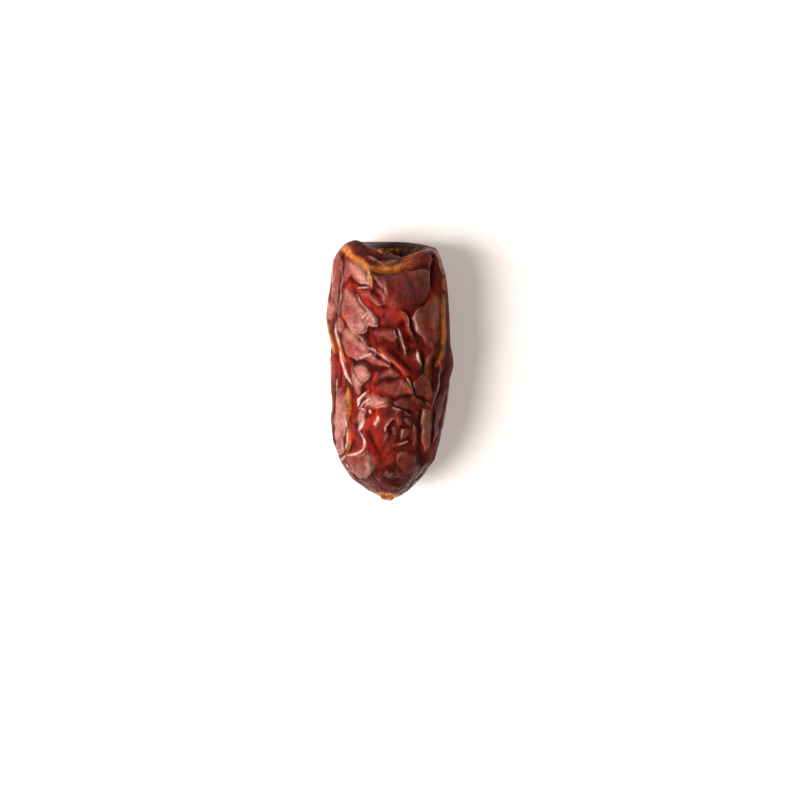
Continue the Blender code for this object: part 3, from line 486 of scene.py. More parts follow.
# Colour routes on the upper side: half width in millimetres, strength, then (x, y) places
AMBER = (
    (0.45, 1.0, (-7.4, 19.9), (-6.7, 18.9), (-6.0, 18.2)),
    (0.36, 1.0, (-6.4, 18.6), (-5.6, 17.7), (-4.4, 17.0), (-3.5, 16.0), (-3.1, 15.0)),
    (0.17, 1.0, (-3.2, 15.6), (-2.95, 14.3), (-2.95, 12.8)),
    (0.55, 0.6, (-3.4, 16.0), (-1.3, 16.0), (0.8, 16.1), (2.4, 16.6)),
    (0.3, 0.55, (1.6, 16.9), (3.1, 17.7), (4.6, 18.7), (6.9, 20.1)),
    (0.5, 0.25, (2.4, 16.4), (4.6, 17.2)),
    (0.14, 0.8, (6.7, 19.9), (7.9, 18.3), (8.5, 16.8), (8.7, 15.3)),
    (0.16, 0.8, (8.65, 14.8), (8.6, 12.8)),
    (0.24, 0.9, (8.5, 12.2), (8.4, 10.0), (8.45, 8.0), (8.55, 5.7), (8.3, 4.1)),
    (0.22, 1.0, (8.3, 8.2), (8.4, 5.7), (8.2, 3.9)),
    (0.2, 0.8, (8.4, 4.6), (8.0, 2.3), (7.5, 0.6)),
    (0.24, 0.9, (-10.2, 8.6), (-9.8, 6.4), (-9.3, 4.6), (-8.9, 2.7)),
    (0.17, 0.9, (-8.45, 5.7), (-8.0, 3.2), (-7.35, 1.2)),
    (0.3, 0.7, (-7.0, -2.9), (-6.9, -5.4), (-6.85, -8.0)),
    (0.26, 0.6, (-6.85, -7.6), (-6.7, -11.0), (-6.65, -13.4)),
    (0.15, 0.9, (4.75, 2.9), (5.05, 1.6), (5.3, 0.5)),
    (0.14, 0.7, (6.0, -5.1), (6.9, -5.9)),
    (0.9, 0.22, (7.6, 12.0), (7.5, 8.5), (7.2, 5.0)),
    (0.6, 0.15, (6.0, 1.5), (6.3, -1.5), (6.4, -4.5)),
    (0.7, 0.2, (6.2, -6.5), (6.4, -9.5), (6.4, -13.0)),
    (0.1, 0.4, (4.4, -6.8), (5.3, -7.1)),
)
# Painted highlights: thin pale glints along ridges and rims, in the same form
GLINT_LINES = (
    (0.08, 0.9, (-4.6, 8.1), (-3.9, 8.7), (-3.4, 9.3)),
    (0.08, 0.8, (-4.0, 7.6), (-3.5, 8.2), (-3.1, 8.9)),
    (0.09, 0.9, (-2.1, 7.1), (-2.7, 8.2), (-3.6, 9.4), (-4.8, 10.7), (-5.5, 12.2)),
    (0.09, 0.8, (-5.4, 5.7), (-4.2, 4.4), (-3.3, 3.1)),
    (0.1, 0.9, (-5.0, -6.0), (-4.3, -5.2), (-3.2, -4.6)),
    (0.08, 0.7, (-4.2, -6.0), (-3.6, -5.4), (-2.8, -5.1)),
    (0.09, 0.8, (-8.7, 7.6), (-8.3, 5.4), (-8.2, 3.2)),
    (0.13, 1.0, (-4.7, -10.1), (-4.0, -11.3), (-4.1, -12.5), (-5.0, -13.25), (-6.9, -13.7)),
    (0.11, 0.8, (-6.9, -13.7), (-7.6, -14.7)),
    (0.17, 1.0, (-5.45, -5.9), (-5.0, -4.7), (-3.7, -3.5)),
    (0.16, 0.9, (-3.3, -6.4), (-3.1, -6.9)),
    (0.2, 1.0, (-2.5, -8.8), (-1.95, -8.0), (-1.85, -7.4)),
    (0.18, 1.0, (-5.0, -9.7), (-4.4, -8.7), (-4.15, -7.4)),
    (0.12, 0.9, (-5.3, -6.1), (-4.1, -6.3)),
    (0.16, 1.0, (2.65, -1.3), (3.25, -2.3), (3.65, -3.4)),
    (0.2, 1.0, (-8.1, 3.0), (-7.85, 1.0), (-7.2, -0.7), (-6.45, -2.1)),
    (0.1, 0.8, (-7.1, -7.5), (-7.1, -9.4)),
    (0.1, 0.7, (-6.9, -9.4), (-6.9, -13.0)),
    (0.16, 0.9, (-3.6, 3.5), (-2.55, 3.05), (-2.3, 2.15)),
    (0.12, 0.8, (-4.8, 1.8), (-2.6, 2.7)),
    (0.12, 0.9, (-3.4, 15.0), (-3.35, 13.4)),
    (0.1, 0.9, (-5.4, 13.1), (-3.2, 13.15)),
    (0.2, 0.35, (-3.4, 17.9), (-2.0, 17.2)),
    (0.2, 0.3, (-2.0, 17.0), (-0.5, 16.9), (1.2, 17.2)),
    (0.08, 0.6, (6.7, 18.0), (6.75, 14.5), (6.6, 12.0)),
    (0.08, 0.3, (-0.8, 14.0), (-0.8, 12.0), (-1.1, 10.9)),
    (0.1, 0.7, (2.3, 9.1), (3.0, 8.0), (3.1, 6.8), (3.9, 5.2)),
    (0.1, 0.6, (1.3, 6.8), (2.0, 4.4), (2.5, 2.7)),
    (0.16, 1.0, (4.3, 2.9), (4.45, 1.8), (4.8, 0.9)),
    (0.12, 0.8, (0.7, -7.7), (0.3, -7.8), (-0.2, -8.5), (-0.6, -8.9), (-0.8, -9.8)),
    (0.1, 0.7, (1.3, -11.9), (2.0, -11.8), (3.0, -11.4)),
    (0.1, 0.6, (0.4, -5.9), (1.0, -6.2), (1.9, -6.4)),
    (0.15, 0.8, (0.6, 6.3), (0.9, 5.4), (1.0, 4.9)),
    (0.1, 0.7, (-3.0, 3.0), (-1.6, 2.5), (0.2, 1.2)),
    (0.12, 0.6, (8.0, -0.4), (8.2, -2.2), (7.9, -4.0), (7.0, -6.3)),
    (0.1, 0.6, (-9.2, 17.0), (-9.4, 14.8), (-9.2, 12.6)),
    (0.1, 0.6, (-8.9, -1.4), (-9.1, -3.6)),
    (0.1, 0.6, (-0.1, -16.6), (0.5, -16.7)),
    (0.08, 0.7, (-6.9, -15.0), (-6.4, -15.9)),
    (0.08, 0.7, (-6.3, -16.2), (-5.7, -16.8)),
    (0.08, 0.6, (-5.3, -17.2), (-4.8, -17.6)),
    (0.08, 0.6, (-4.0, -17.4), (-3.4, -17.2)),
    (0.08, 0.6, (-2.2, -17.6), (-1.5, -17.8)),
    (0.08, 0.5, (0.9, -17.3), (1.6, -17.1)),
    (0.08, 0.5, (-3.0, -18.4), (-2.2, -18.7)),
)
# Painted sheen: wide pale patches on slabs that face the light, in the same form
SHEEN_PATCHES = (
    (0.5, 0.6, (-6.9, 12.6), (-6.0, 10.9), (-4.3, 9.2), (-3.0, 8.3), (-2.5, 7.4)),
    (0.5, 0.5, (-7.0, 6.2), (-5.6, 5.0), (-4.4, 4.0), (-3.9, 3.2)),
    (0.45, 0.6, (-10.0, 10.8), (-9.8, 9.6), (-9.5, 8.4)),
    (0.3, 0.6, (-8.2, 8.2), (-8.0, 7.2), (-7.9, 6.2)),
    (0.7, 0.6, (-6.0, 16.6), (-5.0, 15.7), (-4.2, 14.5)),
    (0.5, 0.8, (-3.5, -13.9), (-3.2, -15.0), (-3.2, -16.0)),
    (0.35, 0.6, (-6.0, -0.8), (-5.5, -2.4), (-5.2, -3.8)),
    (0.35, 0.9, (-0.9, -4.7), (-0.8, -5.2), (-0.85, -5.7)),
    (0.7, 0.5, (-4.9, 0.3), (-4.4, -0.9)),
    (0.6, 0.4, (-3.5, -4.9), (-2.2, -5.1)),
    (0.3, 0.5, (-4.7, -6.6), (-4.9, -7.9)),
    (0.5, 0.4, (-8.3, -4.6), (-8.2, -7.6), (-8.1, -10.8)),
    (0.5, 0.35, (7.6, 11.4), (7.2, 9.0), (6.9, 6.8)),
)
# Red skin in the creases, painted brighter with a glow of light coming through it, in the same form
RED_GLOW_ROUTES = (
    (0.6, 0.9, (-6.5, 14.7), (-5.5, 13.0), (-4.2, 11.1), (-2.8, 9.3), (-1.5, 7.0)),
    (1.0, 0.35, (-1.0, 10.4), (0.3, 9.5), (1.3, 8.2), (1.9, 7.2)),
    (0.9, 1.0, (-3.6, 6.1), (-3.2, 3.6), (-1.0, 1.7), (1.3, 0.0), (3.2, -1.3)),
    (0.9, 0.9, (-2.9, 0.0), (-3.1, -2.2), (-2.1, -3.5)),
    (0.9, 1.0, (-1.1, -5.2), (-2.6, -7.4), (-3.1, -10.0), (-2.6, -12.3), (-1.5, -14.9)),
    (1.1, 0.8, (-1.9, -8.1), (-2.0, -11.3), (-1.5, -13.9)),
    (0.35, 0.8, (-7.5, 14.7), (-6.5, 15.0), (-5.4, 14.2), (-4.4, 13.4), (-3.4, 13.2)),
    (0.8, 0.8, (-7.0, 8.2), (-6.0, 7.0), (-5.5, 6.2)),
    (1.3, 0.5, (-1.5, 5.4), (0.5, 5.3)),
    (1.2, 0.5, (-0.5, -3.0), (1.5, -3.0)),
    (0.5, 1.0, (2.2, 7.9), (2.8, 5.8), (3.6, 4.2)),
    (0.3, 1.0, (-7.2, 1.6), (-6.2, -1.3), (-6.3, -3.4), (-6.05, -7.1), (-5.7, -8.3)),
    (0.5, 0.9, (-8.6, 1.6), (-8.3, -0.6), (-8.0, -2.6)),
    (0.35, 0.8, (-6.1, -9.0), (-6.2, -11.0), (-6.1, -12.8)),
    (0.4, 0.8, (6.9, 12.6), (6.3, 11.5), (5.2, 10.1)),
)
# Painted shade in creases and grooves, in the same form
CREASE_SHADE_ROUTES = (
    (0.14, 0.9, (2.7, 8.3), (3.2, 6.6), (4.0, 4.6)),
    (0.5, 0.9, (7.0, 1.8), (7.4, -0.4), (7.6, -2.2), (7.4, -3.2)),
    (0.35, 0.9, (4.95, -6.9), (5.0, -9.7), (5.1, -13.0), (5.6, -15.9)),
    (0.16, 0.9, (-8.9, 2.4), (-8.9, -0.5), (-8.95, -3.2), (-9.25, -5.6), (-8.9, -9.9)),
    (0.28, 1.0, (8.9, 1.0), (8.6, -0.9), (8.6, -2.6), (8.0, -5.0), (7.75, -7.5), (7.45, -11.2)),
    (0.16, 1.0, (-7.4, 18.5), (-7.8, 16.3), (-8.1, 13.4), (-8.3, 10.6), (-8.4, 8.4)),
    (0.33, 0.8, (7.3, 18.4), (7.4, 16.0), (7.2, 13.6)),
    (0.12, 1.0, (-5.2, -5.7), (-4.4, -5.0), (-3.3, -4.3)),
    (0.12, 1.0, (2.85, -1.0), (3.6, -2.4), (4.0, -3.7), (4.6, -4.5), (5.9, -5.3)),
    (0.1, 0.9, (0.4, -5.4), (1.9, -6.1), (4.1, -7.2)),
    (0.1, 0.8, (-5.6, 12.3), (-5.2, 10.8), (-4.1, 9.8), (-2.55, 8.8), (-1.6, 7.0)),
    (0.1, 0.8, (-6.6, 6.4), (-5.7, 5.6)),
    (0.1, 0.8, (-3.7, 6.0), (-3.8, 4.7)),
    (0.1, 0.9, (-3.4, 3.3), (-2.1, 1.9), (-1.5, 1.3)),
    (0.08, 0.7, (-3.7, 9.2), (-4.8, 8.0)),
    (0.08, 0.6, (-3.0, 8.6), (-4.4, 7.6)),
)

# How fine the noises in the skin's material are, from coarse to fine, and how they are stretched
SLAB_GAPS = 190.0
PATCHES = 260.0
GOLD = 420.0
CRACKLE = 520.0
MOTTLE = 850.0
WRINKLES = 900.0
WORN = 1100.0
SPECKLE = 1500.0
FINE = 2200.0
STREAKS = (1.0, 0.6, 1.0)

# Where the slabs turn from red to brown, and the tip from dark to plain, in metres
SLAB_TURNS_BROWN = (-0.004, 0.003)
TIP_TURNS_DARK = (-0.019, -0.011)

# Where the white walls give way to the dim ceiling, and the camera's sensor in millimetres
CEILING_STARTS = (0.2, 0.6)
SENSOR_WIDTH = 36.0


def smooth_step(low, high, value):
    share = np.clip((value - low) / (high - low), 0.0, 1.0)
    return share * share * (3.0 - 2.0 * share)


def bump(value, centre, width):
    return np.exp(-(((value - centre) / width) ** 2))


def outline(count):
    """Places along the axis from the stem end to the tip, and the girth there as a share of the widest."""
    stem_a, stem_b = STEM_POWERS
    tip_a, tip_b = TIP_POWERS
    cap = np.linspace(0.0, CAP_GIRTH, CAP_STEPS)
    cap_y = STEM_START + (STEM_END - STEM_START) * (1.0 - cap ** (1.0 / stem_b)) ** (1.0 / stem_a)
    body_y = np.linspace(cap_y[-1], TIP_CAP, BODY_STEPS)[1:]
    stem_share = np.clip((body_y - STEM_START) / (STEM_END - STEM_START), 0.0, 1.0)
    tip_share = np.clip((TIP_START - body_y) / (TIP_START - TIP_END), 0.0, 1.0)
    body = (1.0 - stem_share**stem_a) ** stem_b * (1.0 - tip_share**tip_a) ** tip_b
    tip = np.linspace(body[-1], 0.0, BODY_STEPS)[1:]
    tip_y = TIP_START - (TIP_START - TIP_END) * (1.0 - tip ** (1.0 / tip_b)) ** (1.0 / tip_a)
    girth = np.concatenate([cap, body, tip])
    along = np.concatenate([cap_y, body_y, tip_y])
    travel = np.concatenate([[0.0], np.cumsum(np.hypot(np.diff(girth) * HALF_WIDTH, np.diff(along)))])
    even = np.linspace(0.0, travel[-1], count)
    return np.interp(even, travel, along), np.interp(even, travel, girth)


def segment_angles(segments):
    """The angles round the fruit, closer together on the upper side."""
    even = np.arange(segments) * (2.0 * math.pi / segments)
    return even + UPPER_CROWDING * np.cos(even)


def smooth_fruit(rings, segments):
    """The fruit before any folds, as points (rings, segments, 3), and where the dark stem hollow is."""
    along, girth = outline(rings)
    angle = segment_angles(segments)
    power = 2.0 / SECTION_POWER
    across = np.sign(np.cos(angle)) * np.abs(np.cos(angle)) ** power
    up = np.sign(np.sin(angle)) * np.abs(np.sin(angle)) ** power
    g = girth[:, None]
    y = along[:, None] + 0.0 * angle[None, :]
    x = HALF_WIDTH * g * across[None, :]
    z = HALF_HEIGHT * g * up[None, :]

    # The stem end leans back, dips in the middle of its upper lip and stands higher at the left
    upper = 0.5 + 0.5 * np.tanh(z / UPPER_BLEND)
    notch = NOTCH_DEPTH * bump(x, NOTCH_CENTRE, NOTCH_WIDTH) * upper * smooth_step(0.0, NOTCH_GIRTH, g)
    lobe = LOBE_HEIGHT * bump(x, LOBE_CENTRE[0], LOBE_SIZE[0]) * bump(z, LOBE_CENTRE[1], LOBE_SIZE[1])
    y = y - smooth_step(*LEAN_SPAN, y) * (END_TILT * z + notch - lobe)

    # The hollow where the stem sat
    reach = np.hypot((x - HOLLOW_CENTRE[0]) / HOLLOW_RADII[0], (z - HOLLOW_CENTRE[1]) / HOLLOW_RADII[1])
    on_end = smooth_step(*END_SPAN, y)
    y = y - HOLLOW_DEPTH * on_end * (1.0 - smooth_step(*HOLLOW_WALL, reach))
    low_rim = smooth_step(*LOW_RIM_HEIGHT, z) * smooth_step(*LOW_RIM_SPAN, y)
    low_rim *= 1.0 - LOW_RIM_FADE * smooth_step(*LOW_RIM_REACH, reach)
    hollow = np.maximum(on_end * (1.0 - smooth_step(*HOLLOW_DARK, reach)), LOW_RIM_SHARE * low_rim)

    # The scar on the tip
    reach = np.hypot(x - SCAR_CENTRE[0], z - SCAR_CENTRE[1]) / SCAR_RADIUS
    y = y - smooth_step(*SCAR_SPAN, y) * SCAR_HEIGHT * (1.0 - smooth_step(*SCAR_WALL, reach))
    return np.stack([x, y, z], axis=2), hollow


def normals_of(points):
    around = np.roll(points, -1, axis=1) - np.roll(points, 1, axis=1)
    along = np.empty_like(points)
    along[1:-1] = points[2:] - points[:-2]
    along[0] = points[1] - points[0]
    along[-1] = points[-1] - points[-2]
    normals = np.cross(around, along)
    normals /= np.maximum(np.linalg.norm(normals, axis=2, keepdims=True), TINY)
    normals[0] = (0.0, 1.0, 0.0)
    normals[-1] = (0.0, -1.0, 0.0)
    return normals


def smooth_curve(places, step):
    """A curve through every place, with a point about every step."""
    points = np.array(places, float)
    points = np.vstack([2 * points[0] - points[1], points, 2 * points[-1] - points[-2]])
    pieces = []
    for before, start, stop, after in zip(points, points[1:], points[2:], points[3:]):
        count = max(2, int(np.linalg.norm(stop - start) / step) + 1)
        t = np.linspace(0.0, 1.0, count, endpoint=False)[:, None]
        bend = 2 * before - 5 * start + 4 * stop - after
        turn = 3 * start - before - 3 * stop + after
        pieces.append(start + 0.5 * ((stop - before) * t + bend * t**2 + turn * t**3))
    pieces.append(points[-2][None, :])
    return np.vstack(pieces)


def with_ends(heights):
    """The sum of the heights one ring back and one ring on; the first and last ring stand in for none."""
    return np.vstack([heights[:1], heights[:-1]]) + np.vstack([heights[1:], heights[-1:]])


def with_sides(heights):
    """The sum of the heights one segment back and one segment on."""
    return np.roll(heights, 1, axis=1) + np.roll(heights, -1, axis=1)


class Skin:
    """The skin rolled out flat: one height for every ring and segment of the smooth fruit."""

    def __init__(self, points):
        self.points = points
        self.normals = normals_of(points)
        self.rings, self.segments = points.shape[:2]
        around = np.linalg.norm(np.roll(points, -1, axis=1) - points, axis=2)
        along = np.linalg.norm(points[1:] - points[:-1], axis=2).mean(axis=1)
        self.wide = np.maximum(around, LEAST_CELL)
        self.long = np.maximum(np.append(along, along[-1]), LEAST_CELL)[:, None]
        self.angles = segment_angles(self.segments)
        self.seen = (self.normals[:, :, 2] > SEEN_SLOPE) & (points[:, :, 2] > SEEN_HEIGHT)
        self.clear()

    def clear(self):
        self.weight = np.zeros((self.rings, self.segments))
        self.value = np.zeros((self.rings, self.segments))

    def cell_above(self, x, y):
        """The ring and segment that show at (x, y) from above."""
        gap = (self.points[:, :, 0] - x) ** 2 + (self.points[:, :, 1] - y) ** 2
        return np.unravel_index(np.argmin(np.where(self.seen, gap, FAR)), gap.shape)

    def cell_round(self, y, degrees):
        """The ring and segment at a place along the axis and an angle round it."""
        angles = np.append(self.angles, self.angles[0] + 2.0 * math.pi)
        turn = (math.radians(degrees) - angles[0]) % (2.0 * math.pi) + angles[0]
        segment = np.interp(turn, angles, np.arange(self.segments + 1))
        column = self.points[:, int(segment) % self.segments, 1]
        outside = np.arange(self.rings) >= self.rings * HOLLOW_RINGS
        return np.argmin(np.where(outside, np.abs(column - y), FAR)), segment

    def cells_near(self, places, margin):
        """The cells that show from above within a margin of the places' box."""
        x, y = self.points[:, :, 0], self.points[:, :, 1]
        low, high = places.min(axis=0) - margin, places.max(axis=0) + margin
        return np.nonzero(self.seen & (x > low[0]) & (x < high[0]) & (y > low[1]) & (y < high[1]))

    def beside(self, cells, offset):
        """The cells moved sideways by an offset in millimetres, to the left of the direction of travel."""
        ring = np.clip(cells[:, 0].astype(int), 0, self.rings - 1)
        segment = cells[:, 1].astype(int) % self.segments
        wide, long = self.wide[ring, segment], self.long[ring, 0]
        step = np.gradient(cells, axis=0)
        down, left = step[:, 0] * long, step[:, 1] * wide
        length = np.maximum(np.hypot(down, left), TINY)
        return cells + offset * np.stack([left / length / long, -down / length / wide], axis=1)

    def press(self, cells, heights):
        """Asks the skin to pass through these heights at these cells, each spread over its four corners."""
        ring, segment = np.floor(cells).astype(int).T
        part = cells - np.floor(cells)
        for ring_step, ring_share in ((0, 1.0 - part[:, 0]), (1, part[:, 0])):
            for segment_step, segment_share in ((0, 1.0 - part[:, 1]), (1, part[:, 1])):
                at = (np.clip(ring + ring_step, 0, self.rings - 1), (segment + segment_step) % self.segments)
                share = ring_share * segment_share
                np.add.at(self.weight, at, share)
                np.add.at(self.value, at, share * heights)

    def fold(self, left, right, cells):
        """Lays one fold along a route; unequal heights make a step."""
        route = smooth_curve(cells, FOLD_STEP)
        share = np.linspace(0.0, 1.0, len(route))
        taper = np.clip(np.minimum(share, 1.0 - share) / FOLD_TAPER, 0.0, 1.0) ** FOLD_TAPER_POWER
        if left == right:
            self.press(route, left * taper)
            return
        self.press(self.beside(route, STEP_HALF), left * taper)
        self.press(self.beside(route, -STEP_HALF), right * taper)

    def folds_above(self, folds):
        for left, right, *places in folds:
            self.fold(left, right, [self.cell_above(x, y) for x, y in places])

    def folds_round(self, folds):
        for left, right, *places in folds:
            self.fold(left, right, [self.cell_round(y, degrees) for y, degrees in places])

    def settle(self, reach, turns):
        """The heights once the film rests on its folds and has sunk back over a reach between them."""
        hold = self.weight / (HOLD + self.weight)
        target = self.value / np.maximum(self.weight, TINY)
        pull_wide, pull_long = 1.0 / self.wide**2, 1.0 / self.long**2
        total = 2.0 * pull_wide + 2.0 * pull_long + 1.0 / reach**2
        heights = np.zeros((self.rings, self.segments))
        for _ in range(turns):
            free = (pull_wide * with_sides(heights) + pull_long * with_ends(heights)) / total
            heights = (1.0 - hold) * free + hold * target
        return heights

    def near_routes(self, routes, core=0.5, taper=0.0):
        """How near each place is to a route: 1 out to a core share of its half width, then fading.

        The taper is how much of its width a route has lost at its ends.
        """
        share = np.zeros((self.rings, self.segments))
        for half, strength, *places in routes:
            way = smooth_curve(places, ROUTE_STEP)
            wide = half * (1.0 - taper * np.abs(np.linspace(-1.0, 1.0, len(way))) ** 3)
            at = self.cells_near(way, 3 * half)
            x, y = self.points[at][:, :2].T
            gap = np.hypot(x[:, None] - way[None, :, 0], y[:, None] - way[None, :, 1]) / wide
            near = 1.0 - smooth_step(core, 2.4 - core, gap.min(axis=1))
            share[at] = np.maximum(share[at], strength * near)
        return share

    def fold_lines(self, folds):
        """Where thin creases run, and where thin ridges do."""
        creases = [(FOLD_LINE, 1.0, *places) for left, right, *places in folds if left + right < 0.0]
        ridges = [(FOLD_LINE, 1.0, *places) for left, right, *places in folds if left + right > 0.0]
        return self.near_routes(creases), self.near_routes(ridges)

    def slabs(self, strength):
        """The slabs' height, where they lie, their dust and painted sheen, the painted shade in their outer
        creases and the painted highlights on their rims.
        """
        layers = np.zeros((5, self.rings, self.segments))
        for (degrees, rise, dust_and_sheen_share), first, second in SLABS.values():
            corners = np.array(first + second)
            at = self.cells_near(corners, SLAB_MARGIN)
            x, y = self.points[at][:, :2].T
            x, y = x + wobble(y, x, *SLAB_WAVES[0]), y + wobble(x, y, *SLAB_WAVES[1])
            depth = inside_depth(corners, x, y)
            uphill = np.array([math.cos(math.radians(degrees)), math.sin(math.radians(degrees))])
            reach = corners @ uphill
            climb = x * uphill[0] + y * uphill[1] - reach.min()
            share = np.clip(climb / (reach.max() - reach.min()), 0.0, 1.0)
            lip = SLAB_LIP * share * bump(depth, *LIP_PLACE)
            edge = smooth_step(SLAB_EDGE[0], SLAB_EDGE[1] + SLAB_FOOT * (1.0 - share), depth)
            inside = smooth_step(*COVER_EDGE, depth)
            slab = (
                strength * (SLAB_LOW + rise * share + lip) * edge,
                inside * (0.35 + 0.65 * dust_and_sheen_share) * (0.4 + 0.6 * share),
                dust_and_sheen_share * inside * smooth_step(-0.2, 0.9, share),
                smooth_step(0.3, 0.9, share) * bump(depth, *SLAB_CREASE_PLACE),
                dust_and_sheen_share * smooth_step(0.45, 0.85, share) * bump(depth, *SLAB_GLINT_PLACE),
            )
            for layer, values in zip(layers, slab):
                layer[at] = np.maximum(layer[at], values)
        return layers


def wobble(along, across, pace, swing, inner_pace):
    """How far a slab's edge wanders to one side on its way along."""
    return SLAB_WOBBLE * np.sin(pace * along + swing * np.sin(inner_pace * across))


def inside_depth(corners, x, y):
    """Distance to the outline of a polygon, positive inside it."""
    gap = np.full(x.shape, FAR)
    inside = np.zeros(x.shape, bool)
    for (ax, ay), (bx, by) in zip(corners, np.roll(corners, -1, axis=0)):
        across, along = bx - ax, by - ay
        t = np.clip(((x - ax) * across + (y - ay) * along) / (across**2 + along**2), 0.0, 1.0)
        gap = np.minimum(gap, np.hypot(x - ax - t * across, y - ay - t * along))
        crosses = (ay > y) != (by > y)
        level = ax + (y - ay) * across / np.where(along == 0.0, TINY, along)
        inside ^= crosses & (x < level)
    return np.where(inside, gap, -gap)


def plates(points, width, longer, depth, leaning, seed):
    """How far the plates raise or sink each point, and 0 in a crease between plates up to 1 on a plate."""
    shift = Vector(PLATE_SHIFT) * seed
    crease = np.zeros(points.shape[:2])
    lean = np.zeros(points.shape[:2])
    for at in np.ndindex(crease.shape):
        place = Vector(points[at])
        place += noise.noise_vector(place * PLATE_WARP[0] + shift) * PLATE_WARP[1]
        place = Vector((place.x / width, place.y / width / longer, place.z / width)) + shift
        distances, centres = noise.voronoi(place)
        crease[at] = distances[1] - distances[0]
        lean[at] = (place - centres[0]).dot(noise.noise_vector(centres[0] * PLATE_LEAN_PACE + shift))
    plate = smooth_step(0.0, CREASE_WIDTH, crease)
    return depth * (plate - 1.0) + leaning * lean, plate


def crumbs(points, wanted):
    """Small lumps from about -1 to 1 at the wanted places, and nothing elsewhere."""
    lumps = np.zeros(points.shape[:2])
    for at in zip(*np.nonzero(wanted)):
        place = Vector(points[at])
        lumps[at] = noise.noise(place / CRUMB_SIZE) + 0.5 * noise.noise(place / CRUMB_SIZE * 2.3)
    return lumps


def to_outline(points):
    """Moves each flank in or out until the skin reaches as far as the outline says."""
    along, *sides = np.array(OUTLINE[::-1]).T
    rows = np.arange(len(points))
    near_middle = bump(points[:, :, 2], OUTLINE_HEIGHT, OUTLINE_SPREAD)
    for sign, wanted in zip((-1.0, 1.0), sides):
        reach = sign * points[:, :, 0]
        widest = reach.argmax(axis=1)
        far = reach[rows, widest]
        y = points[rows, widest, 1]
        counts = (far > LEAST_REACH) & (np.maximum.accumulate(far) > RIM_REACH)
        change = np.interp(rows, rows[counts], np.interp(y, along, wanted)[counts] / far[counts]) - 1.0
        share = smooth_step(0.0, FLANK_SHARE, reach / HALF_WIDTH) * near_middle
        points[:, :, 0] *= 1.0 + change[:, None] * share


def softened(heights, times):
    """Each height blended with its neighbours, a number of times."""
    for _ in range(times):
        heights = 0.5 * heights + 0.25 * with_sides(heights)
        heights = 0.5 * heights + 0.25 * with_ends(heights)
    return heights


def standing(points):
    """The folded points in metres, fitted to the outline and standing centred on a flat spot."""
    to_outline(points)
    points[0] = points[0].mean(axis=0)
    points[-1] = points[-1].mean(axis=0)
    floor = points[:, :, 2].min() + FLOOR_CUT
    points[:, :, 2] = np.maximum(points[:, :, 2], floor) - floor
    low, high = points.min(axis=(0, 1)), points.max(axis=(0, 1))
    points[:, :, :2] -= (low[:2] + high[:2]) / 2
    return points * MM


